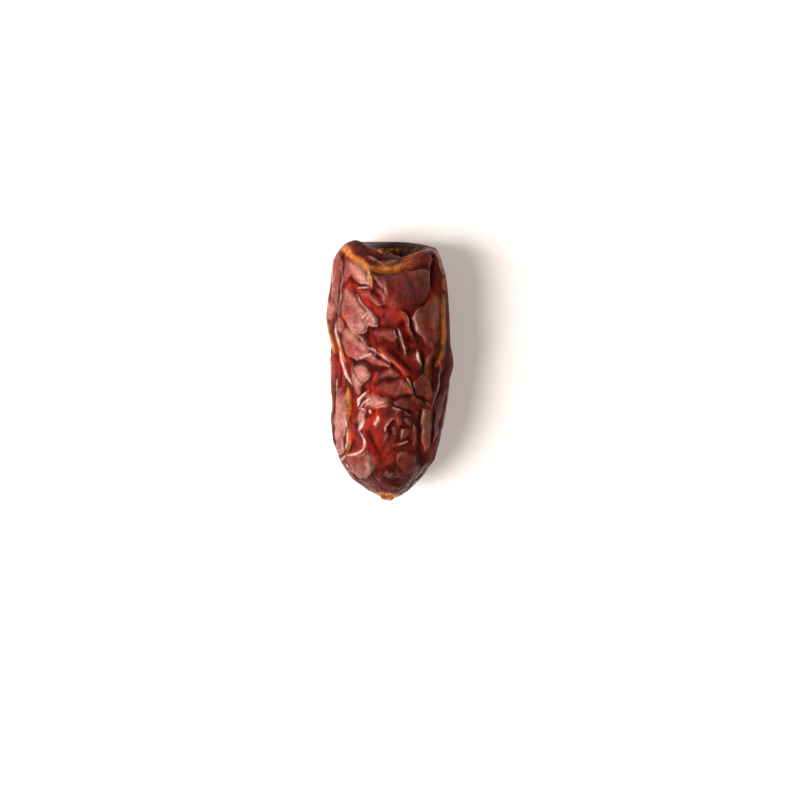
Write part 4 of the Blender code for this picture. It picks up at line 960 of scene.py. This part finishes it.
def folded_skin(sizes):
    """Points of the folded skin in metres, standing on its flat spot, and the places its colours follow."""
    noise.seed_set(NOISE_SEED)
    smooth, hollow = smooth_fruit(sizes.rings, sizes.segments)
    skin = Skin(smooth)
    skin.folds_above(LONG_FOLDS)
    skin.folds_round(ROUND_FOLDS)
    heights = sizes.long_folds * skin.settle(sizes.long_reach / MM, LONG_TURNS)
    skin.clear()
    skin.folds_above(SHORT_FOLDS)
    heights += sizes.short_folds * skin.settle(sizes.short_reach / MM, SHORT_TURNS)
    slab, cover, dust_and_sheen, slab_crease_shade, slab_glint = skin.slabs(sizes.slabs)
    heights += slab
    crease_line, ridge_line = skin.fold_lines(LONG_FOLDS + SHORT_FOLDS)

    # Plates everywhere but on the stem end and the very tip, and quieter on the upper side
    x, y, z = smooth[:, :, 0], smooth[:, :, 1], smooth[:, :, 2]
    girth = np.hypot(x / HALF_WIDTH, z / HALF_HEIGHT)
    above = smooth_step(*UPPER_SPAN, z)
    bare = 1.0 - sizes.upper_calm * above
    bare = bare * (1.0 - smooth_step(*STEM_SPAN, y)) * smooth_step(*POLE_GIRTH, girth)
    tops = np.ones_like(heights)
    for width, longer, depth, leaning, seed in PLATES:
        raised, plate = plates(smooth, width, longer, depth, leaning, seed)
        heights += bare * raised
        tops *= 1.0 - bare * (1.0 - plate) * min(1.0, depth * CREASE_SHOWS)

    # Small crinkles on the tip, and crumbly dry flesh in the hollow
    off_scar = np.hypot(x - SCAR_CENTRE[0], z - SCAR_CENTRE[1])
    crinkled = smooth_step(*TIP_SPAN, y) * smooth_step(*CRINKLE_START, off_scar)
    heights += crinkled * plates(smooth, *TIP_PLATES)[0]
    inside = hollow * smooth_step(*RIM_STRIP_SPAN, y)
    heights += CRUMB_HEIGHT * inside * crumbs(smooth, inside > 0.0)

    under = smooth_step(*UNDER_SPAN, z) * bump(y, *REST_PLACE)
    heights = softened(heights * (1.0 - REST_CALM * under), 2)
    relief = (heights - softened(heights, RELIEF_SPREAD)) / RELIEF_HEIGHT

    side_top = (1.0 - above) * smooth_step(0.35, 0.85, tops)
    side_dust = SIDE_DUST * (1.0 - above) * smooth_step(0.4, 1.0, tops)
    # Painted highlights along thin ridges and on the slabs' rims
    glint = np.maximum(0.15 * ridge_line, 0.75 * slab_glint)
    near_scar = 1.0 - smooth_step(0.75, 1.0, off_scar / SCAR_COLOR_RADIUS)
    masks = {
        "top": np.clip(cover * above + side_top + TIP_DARK * smooth_step(*TIP_DARK_SPAN, y), 0.0, 1.0),
        # Dust, and painted sheen on the slabs
        "dust_and_sheen": dust_and_sheen * above + side_dust,
        # Painted shade along creases and round the slabs
        "line": np.maximum(0.6 * crease_line, 0.45 * slab_crease_shade * above),
        "glint": np.maximum(glint, skin.near_routes(GLINT_LINES, 0.4, 0.8)),
        # Painted sheen in pale patches
        "pale": skin.near_routes(SHEEN_PATCHES, 0.0, 0.6),
        # Painted shade in grooves and a painted highlight on crests, found from the skin's relief
        "groove": np.clip(-relief, 0.0, 1.0),
        "crest_highlight": np.clip(relief, 0.0, 1.0),
        "amber": skin.near_routes(AMBER, 0.35, 0.7),
        # Painted glow of light through the red skin in creases
        "red_glow": skin.near_routes(RED_GLOW_ROUTES),
        # Painted shade in creases
        "dark": skin.near_routes(CREASE_SHADE_ROUTES, 0.4, 0.6),
        "hollow": hollow,
        "golden": inside * bump(x, *GOLDEN_PLACE),
        "strip": hollow - inside,
        "scar": smooth_step(*SCAR_COLOR_SPAN, y) * near_scar,
    }
    return standing(smooth + skin.normals * heights[:, :, None]), masks


def flatness(first, second, third, fourth):
    """How alike the two triangles on the diagonal from first to third face: 1 where they lie flat."""
    one = np.cross(second - first, third - first)
    other = np.cross(third - first, fourth - first)
    return (one * other).sum(axis=2) / (np.linalg.norm(one, axis=2) * np.linalg.norm(other, axis=2))


def sleeve_faces(points):
    """Faces of the sleeve, facing out, with a fan at either pole.

    Each cell is split along its flatter diagonal, so that a slanting fold keeps a straight edge.
    """
    near, far = points[1:-2], points[2:-1]
    cell = (near, np.roll(near, -1, axis=1), np.roll(far, -1, axis=1), far)
    slanting = flatness(*cell) < flatness(*cell[1:], cell[0])
    rings, segments = points.shape[:2]
    last = 1 + (rings - 3) * segments
    tip = last + segments
    faces = []
    for here in range(segments):
        there = (here + 1) % segments
        faces.append((0, 1 + there, 1 + here))
        faces.append((tip, last + here, last + there))
        for ring in range(rings - 3):
            start = 1 + ring * segments
            a, b = start + here, start + there
            c, d = b + segments, a + segments
            if slanting[ring, here]:
                a, b, c, d = b, c, d, a
            faces.append((a, b, c))
            faces.append((a, c, d))
    return faces


def without_poles(values):
    """One value for each corner of the sleeve: a single one at either pole."""
    return np.concatenate([values[:1, 0], values[1:-1].reshape(-1, *values.shape[2:]), values[-1:, 0]])


def strand(foot, sizes, chance):
    """Corners of one strand, ring by ring: it leans out of the hollow, curls and tapers."""
    length = sizes.fibre_length * chance.uniform(0.5, 1.0)
    lean = Vector((chance.uniform(-0.6, 0.6), chance.uniform(0.1, 0.7), 1.0)).normalized()
    curl = Vector((chance.uniform(-1, 1), 0.0, chance.uniform(-1, 1))) * FIBRE_CURL * length
    side = lean.orthogonal().normalized()
    other = lean.cross(side)
    corners = []
    for knot in range(FIBRE_KNOTS):
        share = knot / (FIBRE_KNOTS - 1)
        centre = foot - lean * (FIBRE_ROOT * MM) + lean * length * share + curl * share**2
        radius = sizes.fibre_radius * (1.0 - FIBRE_TAPER * share) * chance.uniform(0.85, 1.15)
        for k in range(FIBRE_SIDES):
            angle = 2.0 * math.pi * k / FIBRE_SIDES
            corners.append(centre + radius * (math.cos(angle) * side + math.sin(angle) * other))
    return corners


def strand_faces(first):
    """Faces of one closed strand whose corners start at this number."""
    faces = []
    for start in range(first, first + (FIBRE_KNOTS - 1) * FIBRE_SIDES, FIBRE_SIDES):
        for k in range(FIBRE_SIDES):
            a, b = start + k, start + (k + 1) % FIBRE_SIDES
            faces.append((a, b, b + FIBRE_SIDES, a + FIBRE_SIDES))
    root = range(first, first + FIBRE_SIDES)
    faces.append(tuple(reversed(root)))
    faces.append(tuple(corner + (FIBRE_KNOTS - 1) * FIBRE_SIDES for corner in root))
    return faces


class NodeBoard:
    """The nodes of a material or a world, with short ways to add them and join them."""

    def __init__(self, owner, shader):
        owner.use_nodes = True
        self.owner = owner
        self.tree = owner.node_tree
        self.shader = self.tree.nodes[shader]

    def join(self, value, socket):
        """Links an output to a socket, or sets the socket to a number or a colour."""
        if isinstance(value, bpy.types.NodeSocket):
            self.tree.links.new(value, socket)
        elif isinstance(value, Color):
            socket.default_value = (*value, 1.0)
        else:
            socket.default_value = value

    def fill(self, node, inputs):
        """Joins a node's inputs by name, with _ for a space."""
        for name, value in inputs.items():
            self.join(value, node.inputs[name.replace("_", " ")])

    def finish(self, **inputs):
        """Joins the shader's inputs, and gives the finished material or world."""
        self.fill(self.shader, inputs)
        return self.owner

    def node(self, kind, settings=(), **inputs):
        made = self.tree.nodes.new(kind)
        for name, value in dict(settings).items():
            setattr(made, name, value)
        self.fill(made, inputs)
        return made

    def mask(self, name):
        return self.node("ShaderNodeAttribute", {"attribute_name": name}).outputs["Fac"]

    def math(self, operation, *values):
        """The values brought together from left to right by one operation."""
        result = values[0]
        for value in values[1:]:
            made = self.node("ShaderNodeMath", {"operation": operation})
            self.join(result, made.inputs[0])
            self.join(value, made.inputs[1])
            result = made.outputs[0]
        return result

    def without(self, mask, strength=1.0):
        """What a mask leaves free."""
        return self.math("SUBTRACT", 1.0, self.math("MULTIPLY", mask, strength))

    def mix(self, share, first, second, blend="MIX"):
        made = self.node("ShaderNodeMix", {"data_type": "RGBA", "blend_type": blend}, Factor=share)
        self.fill(made, {"A": first, "B": second})
        return made.outputs["Result"]

    def over(self, color, coat, *shares):
        """A colour with a coat over it, as strong as the product of the shares."""
        return self.mix(self.math("MULTIPLY", *shares), color, coat)

    def shaded(self, color, share):
        """A colour made darker or lighter by a share."""
        grey = self.node("ShaderNodeCombineColor", Red=share, Green=share, Blue=share)
        return self.mix(1.0, color, grey.outputs["Color"], "MULTIPLY")

    def range(self, value, low, high, to_low=0.0, to_high=1.0):
        made = self.node("ShaderNodeMapRange", {"interpolation_type": "SMOOTHSTEP"}, Value=value)
        self.fill(made, {"From Min": low, "From Max": high, "To Min": to_low, "To Max": to_high})
        return made.outputs["Result"]

    def noise(self, place, scale, detail=3.0, roughness=0.55):
        made = self.node("ShaderNodeTexNoise", Vector=place, Scale=scale, Detail=detail, Roughness=roughness)
        return made.outputs["Fac"]

    def place(self, stretch=(1.0, 1.0, 1.0)):
        """Where a point lies on the object, in metres, squeezed or stretched along the axes."""
        where = self.node("ShaderNodeTexCoord").outputs["Object"]
        return self.node("ShaderNodeMapping", Vector=where, Scale=stretch).outputs[0]

    def along(self, place, axis):
        return self.node("ShaderNodeSeparateXYZ", Vector=place).outputs[axis]

    def bumps(self, height, strength, distance):
        made = self.node("ShaderNodeBump", Strength=strength, Distance=distance, Height=height)
        return made.outputs["Normal"]


def new_material(name):
    return NodeBoard(bpy.data.materials.new(name), "Principled BSDF")


def waxy_skin(colors):
    """The skin: red creases with a painted glow and painted shade, brown-mauve slabs with a waxy bloom and
    painted sheen, painted highlights on crests and rims, amber streaks and fine wrinkles.
    """
    board = new_material("waxy_date_skin")
    place = board.place()
    streaky = board.place(STREAKS)
    names = ("top", "dust_and_sheen", "groove", "hollow", "strip", "scar")
    top, dust_and_sheen, groove, hollow, strip, scar = (board.mask(name) for name in names)
    patches = board.noise(place, PATCHES)
    mottle = board.noise(place, MOTTLE, 4.0, 0.65)
    fine = board.noise(place, FINE, 3.0, 0.6)

    # Red skin, and slabs that are redder on the left and browner on the right
    color = board.mix(board.range(patches, 0.35, 0.65), colors.flesh, colors.flesh_dark)
    mauve = board.mix(board.range(patches, 0.38, 0.66), colors.slab, colors.slab_dark)
    mauve = board.mix(board.range(board.along(place, "X"), *SLAB_TURNS_BROWN), colors.slab_red, mauve)
    whole = board.range(board.noise(place, SLAB_GAPS, 2.0, 0.5), 0.36, 0.56, 0.5, 1.0)
    color = board.over(color, mauve, top, whole)

    # Red creases with a painted glow where dust and sheen are thin, the dusty bloom with painted sheen,
    # painted highlights on crests, and painted shade in grooves and dark creases
    glow = board.range(patches, 0.35, 0.6, 1.0, 0.4)
    color = board.over(color, colors.crease_red_glow, board.mask("red_glow"), board.without(dust_and_sheen, 0.75), glow)
    cloud = board.range(board.noise(place, PATCHES, 3.0, 0.5), 0.36, 0.64, 0.2, 1.0)
    color = board.over(color, colors.bloom_and_sheen, dust_and_sheen, cloud, 0.65)
    color = board.over(color, colors.bloom_and_sheen, board.mask("crest_highlight"), board.range(mottle, 0.3, 0.6, 0.04, 0.18))
    sunk = board.math("MAXIMUM", board.mask("dark"), groove)
    color = board.over(color, colors.crease_shade, sunk, 0.85)

    # Amber streaks, painted shade in thin lines along creases, painted sheen in pale patches and painted
    # highlights along rims and ridges
    worn = board.range(board.noise(streaky, WORN, 4.0, 0.7), 0.36, 0.58)
    golden = board.mix(board.range(board.noise(streaky, GOLD), 0.42, 0.75), colors.amber, colors.tan)
    color = board.over(color, golden, board.mask("amber"), board.range(worn, 0.0, 1.0, 0.45, 1.0))
    color = board.over(color, colors.line, board.mask("line"))
    color = board.over(color, colors.bloom_and_sheen, board.mask("pale"), board.range(mottle, 0.3, 0.6, 0.5, 1.0))
    color = board.over(color, colors.glint, board.mask("glint"), board.range(mottle, 0.35, 0.6, 0.5, 0.9))

    # Torn dry flesh in the hollow, its dry edge, and the scar on the tip
    torn = board.mix(board.range(mottle, 0.4, 0.6), colors.hollow, colors.hollow_brown)
    torn = board.over(torn, colors.fibre, board.mask("golden"), board.range(fine, 0.4, 0.6))
    color = board.over(color, torn, hollow)
    ragged = board.range(board.math("ADD", strip, board.math("MULTIPLY", mottle, 0.6)), 0.45, 0.9)
    color = board.over(color, colors.strip, ragged, board.range(strip, 0.0, 0.1))
    color = board.over(color, board.mix(worn, colors.fibre_dark, golden), scar)

    # Speckles all over, and a darker tip round the scar
    speckle = board.range(board.noise(place, SPECKLE, 3.0, 0.7), 0.3, 0.7, 0.76, 1.2)
    color = board.shaded(color, speckle)
    dim = board.range(board.along(place, "Y"), *TIP_TURNS_DARK, 0.5, 1.0)
    color = board.over(color, board.shaded(color, dim), board.without(scar))

    rough = board.math(
        "ADD",
        board.range(top, 0.0, 0.6, 0.4, 0.0),
        board.range(fine, 0.3, 0.7, 0.22, 0.3),
        board.math("MULTIPLY", groove, 0.25),
        board.math("MULTIPLY", hollow, 0.3),
    )
    wrinkles = board.noise(streaky, WRINKLES, 5.0, 0.62)
    edges = {"feature": "DISTANCE_TO_EDGE"}
    cells = board.node("ShaderNodeTexVoronoi", edges, Vector=streaky, Scale=CRACKLE)
    crackle = board.range(cells.outputs["Distance"], 0.0, 0.3)
    relief = board.math("ADD", board.math("MULTIPLY", wrinkles, 0.8), board.math("MULTIPLY", crackle, 0.1))
    normal = board.bumps(relief, 0.9, 0.00025)
    return board.finish(Base_Color=color, Roughness=rough, Specular_IOR_Level=0.2, Normal=normal)


def dry_fibre(colors):
    board = new_material("dry_stem_fibre")
    streaks = board.noise(board.place((1.0, 0.3, 1.0)), 1800.0)
    color = board.mix(board.range(streaks, 0.35, 0.65), colors.fibre, colors.fibre_dark)
    return board.finish(Base_Color=color, Roughness=0.6, Normal=board.bumps(streaks, 0.4, 0.00005))


def paper_floor(stage):
    """Pale paper that glows a little, as on a light table."""
    board = new_material("pale_paper_floor")
    grain = board.noise(board.place(), 900.0, 3.0, 0.6)
    color = board.mix(board.range(grain, 0.3, 0.7), stage.floor_color, stage.floor_color * 0.965)
    board.finish(Emission_Color=stage.floor_color, Emission_Strength=stage.floor_glow)
    normal = board.bumps(grain, 0.25, 0.0003)
    return board.finish(Base_Color=color, Roughness=0.9, Specular_IOR_Level=0.1, Normal=normal)


def white_room(stage):
    """Bright walls and a dim ceiling."""
    board = NodeBoard(bpy.data.worlds.new("white_room"), "Background")
    height = board.along(board.node("ShaderNodeTexCoord").outputs["Generated"], "Z")
    strength = board.range(height, *CEILING_STARTS, stage.sky, stage.sky_top)
    return board.finish(Color=stage.sky_color, Strength=strength)


def new_object(name, data):
    made = bpy.data.objects.new(name, data)
    bpy.context.scene.collection.objects.link(made)
    return made


def new_piece(name, corners, faces, material):
    """A smooth piece of the date with one material."""
    mesh = bpy.data.meshes.new(name)
    mesh.from_pydata(corners, [], faces)
    mesh.shade_smooth()
    mesh.materials.append(material)
    return new_object(name, mesh)


def area_light(name, shape, size, power, towards, distance):
    """A light at a distance in one direction, turned to the date."""
    lamp = bpy.data.lights.new(name, "AREA")
    lamp.shape = shape
    lamp.size = size
    lamp.energy = power
    direction = Vector(towards).normalized()
    light = new_object(name, lamp)
    light.location = direction * distance
    light.rotation_mode = "QUATERNION"
    light.rotation_quaternion = direction.to_track_quat("Z", "Y")


def counted(label, words, default, least):
    return bpy.props.IntProperty(name=label, description=words, default=default, min=least)


def number(label, words, default):
    return bpy.props.FloatProperty(name=label, description=words, default=default)


def metres(label, words, default):
    return bpy.props.FloatProperty(name=label, description=words, default=default, unit="LENGTH")


def vector(label, words, default, subtype):
    return bpy.props.FloatVectorProperty(name=label, description=words, default=default, subtype=subtype)


def tint(label, words, default):
    return vector(label, words, default, "COLOR")


class DateSizes(bpy.types.PropertyGroup):
    rings: counted("Rings", "Rings along the skin", 300, 40)
    segments: counted("Segments", "Segments round the skin", 320, 40)
    long_folds: number("Long folds", "Strength of the long folds", 1.0)
    short_folds: number("Short folds", "Strength of the short folds", 1.0)
    slabs: number("Slabs", "Strength of the raised slabs", 1.0)
    upper_calm: number("Upper calm", "How much quieter the plates are on the upper side", 0.6)
    long_reach: metres("Long reach", "How far a long fold pulls the skin", 0.0024)
    short_reach: metres("Short reach", "How far a short fold pulls the skin", 0.0012)
    fibres: counted("Fibres", "Strands left in the stem hollow", 90, 1)
    fibre_length: metres("Fibre length", "Length of the longest strand", 0.0011)
    fibre_radius: metres("Fibre radius", "Radius of a strand at its root", 0.00014)


class DateColors(bpy.types.PropertyGroup):
    flesh: tint("Skin", "Skin between the slabs", (0.18, 0.01, 0.003))
    flesh_dark: tint("Dark skin", "Darker patches of the same skin", (0.065, 0.004, 0.0015))
    slab: tint("Slab", "Raised slabs of skin", (0.17, 0.032, 0.02))
    slab_red: tint("Red slab", "Slabs on the left, where the skin is redder", (0.22, 0.018, 0.009))
    slab_dark: tint("Dark slab", "Darker patches of the slabs", (0.09, 0.013, 0.009))
    # Bloom colour, also used for painted sheen on the slabs and painted highlights on crests
    bloom_and_sheen: tint("Bloom", "Dusty waxy bloom", (0.55, 0.25, 0.20))
    # Colour of the painted highlights along thin ridges and rims
    glint: tint("Rim", "Pale lines along thin ridges", (0.80, 0.50, 0.43))
    # Red skin painted brighter, as if lit through the skin
    crease_red_glow: tint("Bright crease", "Creases where the skin glows red", (0.40, 0.016, 0.001))
    # Colour of the painted shade in grooves and creases
    crease_shade: tint("Dark crease", "Deep grooves", (0.05, 0.003, 0.001))
    # Colour of the painted shade in thin lines along creases
    line: tint("Crease line", "Thin dark line in a crease", (0.045, 0.004, 0.0015))
    amber: tint("Amber", "Amber streaks", (0.52, 0.15, 0.012))
    tan: tint("Tan", "Paler part of the streaks", (0.60, 0.28, 0.08))
    hollow: tint("Hollow", "Inside of the stem hollow", (0.03, 0.008, 0.004))
    hollow_brown: tint("Hollow brown", "Dry flesh inside the stem hollow", (0.16, 0.07, 0.04))
    strip: tint("Rim strip", "Dry edge of the stem hollow", (0.07, 0.038, 0.028))
    fibre: tint("Fibre", "Fibres in the stem hollow", (0.80, 0.36, 0.06))
    fibre_dark: tint("Dark fibre", "Shaded part of the fibres", (0.2, 0.045, 0.01))


class StageSettings(bpy.types.PropertyGroup):
    floor_color: tint("Floor", "Colour of the paper", (0.86, 0.79, 0.755))
    floor_size: metres("Floor size", "Side of the paper", 3.0)
    floor_glow: number("Floor glow", "Light that comes up through the paper", 0.325)
    key_power: number("Key", "Power of the soft key light in watts", 2.8)
    key_size: metres("Key size", "Width of the key light", 0.27)
    key_direction: vector("Key direction", "Where the key light stands", (-0.58, -0.2, 0.9), "DIRECTION")
    panel_power: number("Panel", "Power of the low panel at the left in watts", 1.2)
    panel_size: metres("Panel size", "Side of the low panel", 0.25)
    panel_direction: vector("Panel direction", "Where the low panel stands", (-1.0, -0.1, 0.6), "DIRECTION")
    light_distance: metres("Light distance", "Distance of the key light and the panel", 0.55)
    sky: number("Sky", "Strength of the white walls round the fruit", 0.62)
    sky_top: number("Sky top", "Strength of the dim ceiling", 0.1)
    sky_color: tint("Sky colour", "Colour of the even light", (1.0, 0.96, 0.93))
    view_width: metres("View width", "Width of the picture at the date", 0.130)
    view_centre: vector("View centre", "Where the camera looks", (0.00162, -0.00483, 0.009), "XYZ")
    lens: number("Lens", "Focal length in millimetres", 100.0)


class DATE_OT_fold_skin(bpy.types.Operator):
    """Build the folded skin of the date"""

    bl_idname = "piarom.fold_skin"
    bl_label = "Folded skin"

    def execute(self, context):
        points, masks = folded_skin(context.scene.date_sizes)
        corners = without_poles(points).tolist()
        skin = new_piece("folded_skin", corners, sleeve_faces(points), waxy_skin(context.scene.date_colors))
        for name, values in masks.items():
            layer = skin.data.attributes.new(name, "FLOAT", "POINT")
            layer.data.foreach_set("value", without_poles(values).astype(np.float32))
        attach(skin, "root")
        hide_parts(NODE)
        return {"FINISHED"}


class DATE_OT_stem_fibres(bpy.types.Operator):
    """Add the torn fibres in the stem hollow"""

    bl_idname = "piarom.stem_fibres"
    bl_label = "Stem fibres"

    def execute(self, context):
        skin = bpy.data.objects["folded_skin"]
        chance = random.Random(FIBRE_SEED)
        corners, faces = [], []
        for _ in range(context.scene.date_sizes.fibres):
            across, along = chance.uniform(*FIBRE_X) * MM, chance.uniform(*FIBRE_Y) * MM
            start = Vector((across, along, FIBRE_ABOVE * MM))
            found, foot, _, _ = skin.ray_cast(start, Vector((0.0, 0.0, -1.0)))
            if not found:
                raise RuntimeError("a fibre finds no skin under it")
            faces += strand_faces(len(corners))
            corners += strand(foot, context.scene.date_sizes, chance)
        fibres = new_piece("stem_fibres", corners, faces, dry_fibre(context.scene.date_colors))
        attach(fibres, "root")
        return {"FINISHED"}


class DATE_OT_stage(bpy.types.Operator):
    """Lay the pale floor and set up the light and the camera"""

    bl_idname = "piarom.stage"
    bl_label = "Stage"

    def execute(self, context):
        stage = context.scene.date_stage
        half = stage.floor_size / 2
        mesh = bpy.data.meshes.new("paper_floor")
        corners = [(-half, -half, 0), (half, -half, 0), (half, half, 0), (-half, half, 0)]
        mesh.from_pydata(corners, [], [(0, 1, 2, 3)])
        mesh.materials.append(paper_floor(stage))
        new_object("paper_floor", mesh)

        away = stage.light_distance
        area_light("soft_key", "DISK", stage.key_size, stage.key_power, stage.key_direction, away)
        area_light("low_panel", "SQUARE", stage.panel_size, stage.panel_power, stage.panel_direction, away)

        context.scene.world = white_room(stage)
        context.scene.view_settings.view_transform = "Standard"
        context.scene.view_settings.look = "Medium High Contrast"

        lens = bpy.data.cameras.new("camera")
        lens.lens = stage.lens
        lens.sensor_width = SENSOR_WIDTH
        camera = new_object("camera", lens)
        away = stage.view_width * stage.lens / lens.sensor_width
        camera.location = Vector(stage.view_centre) + Vector((0.0, 0.0, away))
        context.scene.camera = camera
        return {"FINISHED"}


class DATE_PT_panel(bpy.types.Panel):
    """The operators that build the date, with its sizes and colours"""

    bl_label = "Piarom date"
    bl_space_type = "VIEW_3D"
    bl_region_type = "UI"
    bl_category = "Date"

    def draw(self, context):
        column = self.layout.column()
        for made in (DATE_OT_fold_skin, DATE_OT_stem_fibres, DATE_OT_stage):
            column.operator(made.bl_idname)
        for group in (context.scene.date_sizes, context.scene.date_colors, context.scene.date_stage):
            for name in group.__annotations__:
                column.prop(group, name)


CLASSES = (
    DateSizes,
    DateColors,
    StageSettings,
    DATE_OT_fold_skin,
    DATE_OT_stem_fibres,
    DATE_OT_stage,
    DATE_PT_panel,
)


def register():
    for kind in CLASSES:
        bpy.utils.register_class(kind)
    bpy.types.Scene.date_sizes = bpy.props.PointerProperty(type=DateSizes)
    bpy.types.Scene.date_colors = bpy.props.PointerProperty(type=DateColors)
    bpy.types.Scene.date_stage = bpy.props.PointerProperty(type=StageSettings)


def unregister():
    del bpy.types.Scene.date_stage
    del bpy.types.Scene.date_colors
    del bpy.types.Scene.date_sizes
    for kind in reversed(CLASSES):
        bpy.utils.unregister_class(kind)


def main():
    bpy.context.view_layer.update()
    register()
    bpy.ops.piarom.fold_skin()
    bpy.ops.piarom.stem_fibres()
    bpy.ops.piarom.stage()


if __name__ == "__main__":
    main()
